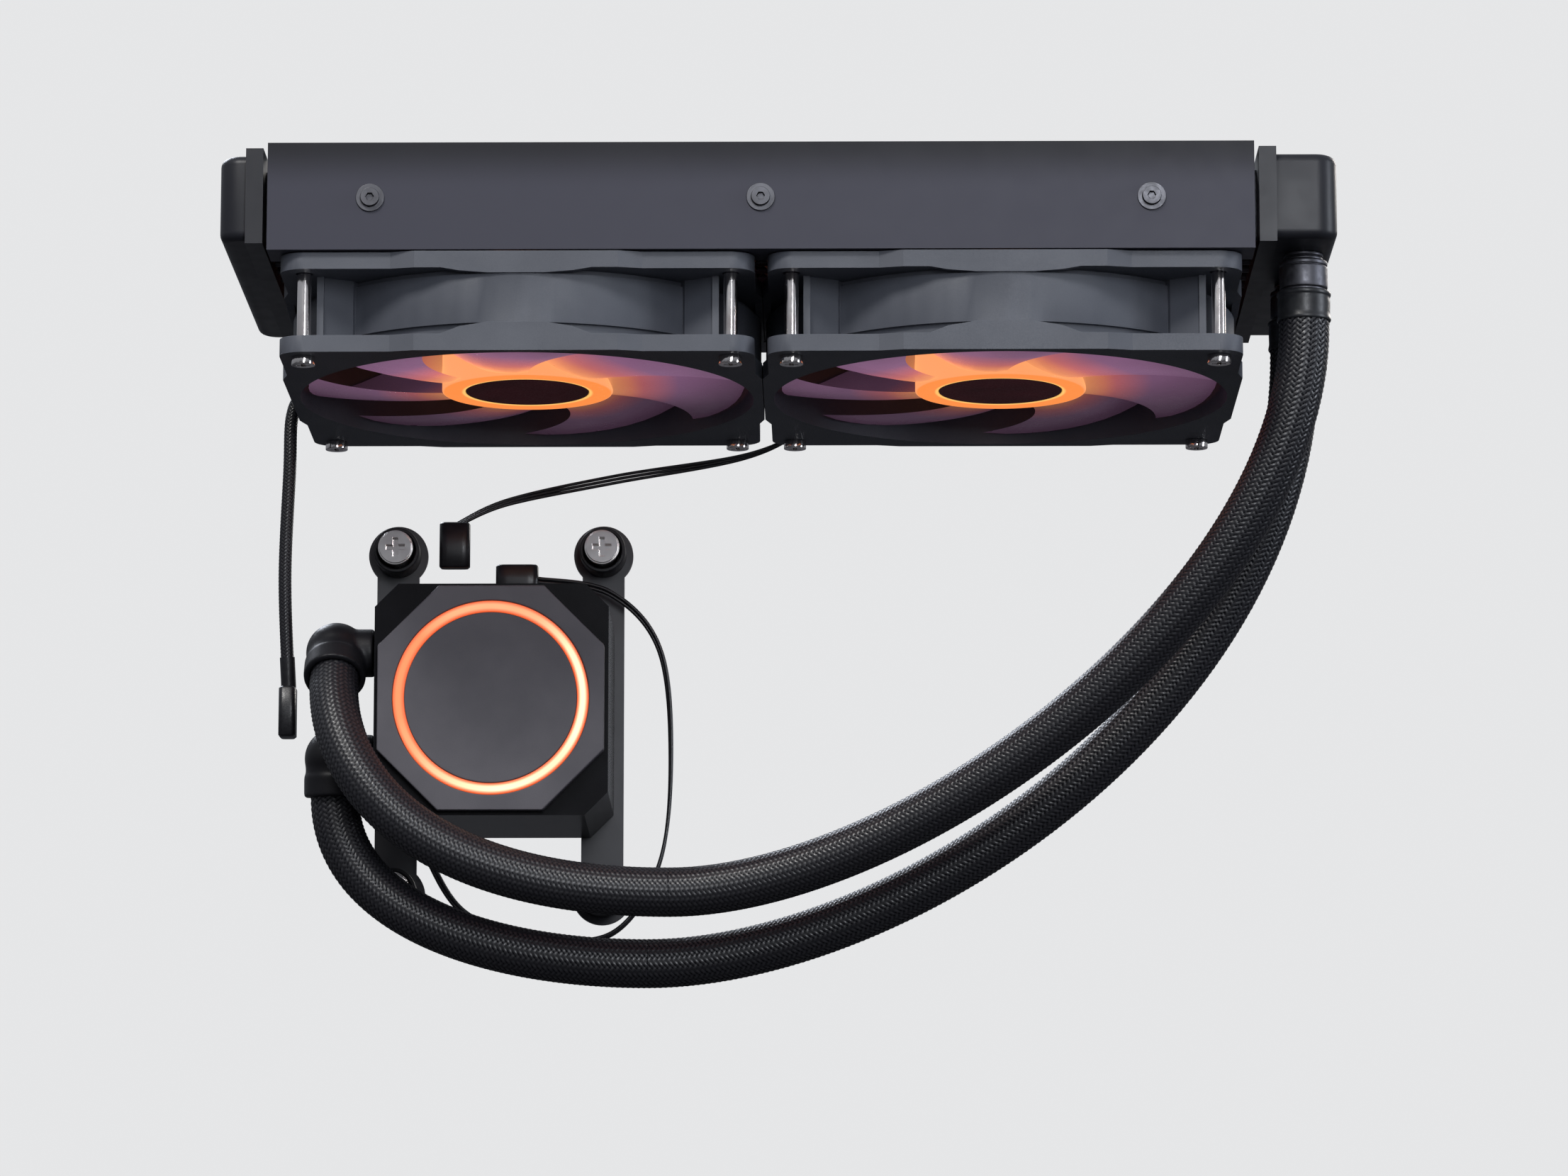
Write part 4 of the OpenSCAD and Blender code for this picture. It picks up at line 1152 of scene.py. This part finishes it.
def add_cables():
    add_sleeved_cable()
    add_cable("fan_right_cable", "radiator", RIGHT_CABLE, RIGHT_PLUG,
              count=3, gap=0.9, radius=0.42, turns=0.5)
    add_cable("pump_cable", "pump_head", PUMP_CABLE, PUMP_PLUG,
              count=2, gap=0.95, radius=0.5, turns=0.4)


# ---------- stage, light and camera ----------

def one_sided_floor():
    """Pale floor that fades into the backdrop, gives little bounce and is not seen from below,
    where the camera of the main view stands."""
    f = Finish("pale_floor", (0.5, 0.5, 0.5), 0.85)
    pale = f.mix(f.noise(6.0, 3.0), (0.42, 0.42, 0.43), (0.46, 0.46, 0.47))
    direct = f.node("LightPath").outputs["Is Camera Ray"]
    f.set("Base Color", f.mix(direct, (0.03, 0.03, 0.035), pale))
    reach = f.node_with(f.place, "VectorMath", operation="LENGTH").outputs["Value"]
    sweep = f.node("Emission")
    f.plug((0.79, 0.793, 0.80), sweep.inputs["Color"])
    far = f.node("MixShader")
    f.plug(f.math("MULTIPLY", direct, f.scale(reach, 0.25, 1.3, 0.0, 1.0, True)), far.inputs[0])
    f.plug(f.shader.outputs[0], far.inputs[1])
    f.plug(sweep.outputs[0], far.inputs[2])
    pick = f.node("MixShader")
    f.plug(f.node("NewGeometry").outputs["Backfacing"], pick.inputs[0])
    f.plug(far.outputs[0], pick.inputs[1])
    f.plug(f.node("BsdfTransparent").outputs[0], pick.inputs[2])
    f.plug(pick.outputs[0], f.tree.nodes["Material Output"].inputs["Surface"])
    return f


def add_floor():
    corners = [(a * FLOOR_REACH, b * FLOOR_REACH, FLOOR_Z)
               for a, b in ((-1, -1), (1, -1), (1, 1), (-1, 1))]
    mesh = bpy.data.meshes.new("floor")
    mesh.from_pydata([tuple(Vector(c) * MM) for c in corners], [], [(0, 1, 2, 3)])
    floor = finished("floor", mesh, one_sided_floor(), 0)


def add_world():
    """Pale backdrop for the camera, and a dimmer soft dome for the light."""
    world = bpy.data.worlds.new("studio")
    bpy.context.scene.world = world
    world.use_nodes = True
    nodes, links = world.node_tree.nodes, world.node_tree.links
    dome = nodes["Background"]
    dome.inputs["Strength"].default_value = 0.42
    look = nodes.new("ShaderNodeTexCoord")
    axes = nodes.new("ShaderNodeSeparateXYZ")
    height = nodes.new("ShaderNodeMapRange")
    height.inputs["From Min"].default_value = -0.5
    height.inputs["From Max"].default_value = 0.6
    shade = nodes.new("ShaderNodeMix")
    shade.data_type = "RGBA"
    shade.inputs[MIX_A].default_value = (0.05, 0.05, 0.06, 1)
    shade.inputs[MIX_B].default_value = (0.80, 0.84, 0.92, 1)
    links.new(look.outputs["Generated"], axes.inputs[0])
    links.new(axes.outputs["Z"], height.inputs["Value"])
    links.new(height.outputs["Result"], shade.inputs["Factor"])
    links.new(shade.outputs[MIX_COLOUR], dome.inputs["Color"])
    seen = nodes.new("ShaderNodeBackground")
    seen.inputs["Color"].default_value = (0.83, 0.835, 0.845, 1)
    seen.inputs["Strength"].default_value = 0.95
    ray = nodes.new("ShaderNodeLightPath")
    pick = nodes.new("ShaderNodeMixShader")
    links.new(ray.outputs["Is Camera Ray"], pick.inputs[0])
    links.new(dome.outputs[0], pick.inputs[1])
    links.new(seen.outputs[0], pick.inputs[2])
    links.new(pick.outputs[0], nodes["World Output"].inputs["Surface"])


def add_lamp(name, place, size, watts, colour, gloss=1.0):
    data = bpy.data.lights.new(name, "AREA")
    data.shape = "RECTANGLE"
    data.size, data.size_y = size[0] * MM, size[1] * MM
    data.energy = watts
    data.color = colour
    data.specular_factor = gloss
    lamp = bpy.data.objects.new(name, data)
    bpy.context.scene.collection.objects.link(lamp)
    lamp.location = Vector(place) * MM
    lamp.rotation_euler = (LAMP_AIM - Vector(place)).to_track_quat("-Z", "Y").to_euler()


def add_lamps():
    """The two lamps behind the cooler give hardly any glints."""
    add_lamp("key", (-600, -1200, 1100), (520, 380), 17, (1.0, 0.985, 0.96))
    add_lamp("front", (350, -1700, 250), (420, 900), 12, (0.92, 0.95, 1.0))
    add_lamp("side", (1400, -300, 100), (300, 900), 8, (0.84, 0.90, 1.0))
    add_lamp("rim", (-700, 1200, 900), (600, 400), 12, (0.85, 0.90, 1.0), 0.05)
    add_lamp("back", (900, 1200, 600), (500, 500), 8, (1.0, 0.95, 0.9), 0.05)


def add_camera():
    low, high = cad_box
    aim = (low + high) / 2
    data = bpy.data.cameras.new("camera")
    data.lens = LENS
    camera = bpy.data.objects.new("camera", data)
    bpy.context.scene.collection.objects.link(camera)
    camera.location = PHOTO_EYE * MM
    camera.rotation_euler = (aim - camera.location).to_track_quat("-Z", "Y").to_euler()
    bpy.context.scene.camera = camera


FINISHES = make_finishes()
keep_cad_parts(FINISHES)
add_hoses()
add_collars()
add_ferrules()
add_fittings()
add_tank("left_end_tank", -1)
add_tank("port_end_tank", 1)
add_fins()
for fan_side in ("left", "right"):
    add_rotor(fan_side)
add_elbow("upper_elbow")
add_elbow("lower_elbow")
for screw_number in (1, 2, 3, 4):
    add_spring(screw_number)
add_cables()
add_floor()
add_world()
add_lamps()
add_camera()
bpy.context.scene.view_settings.view_transform = "Standard"
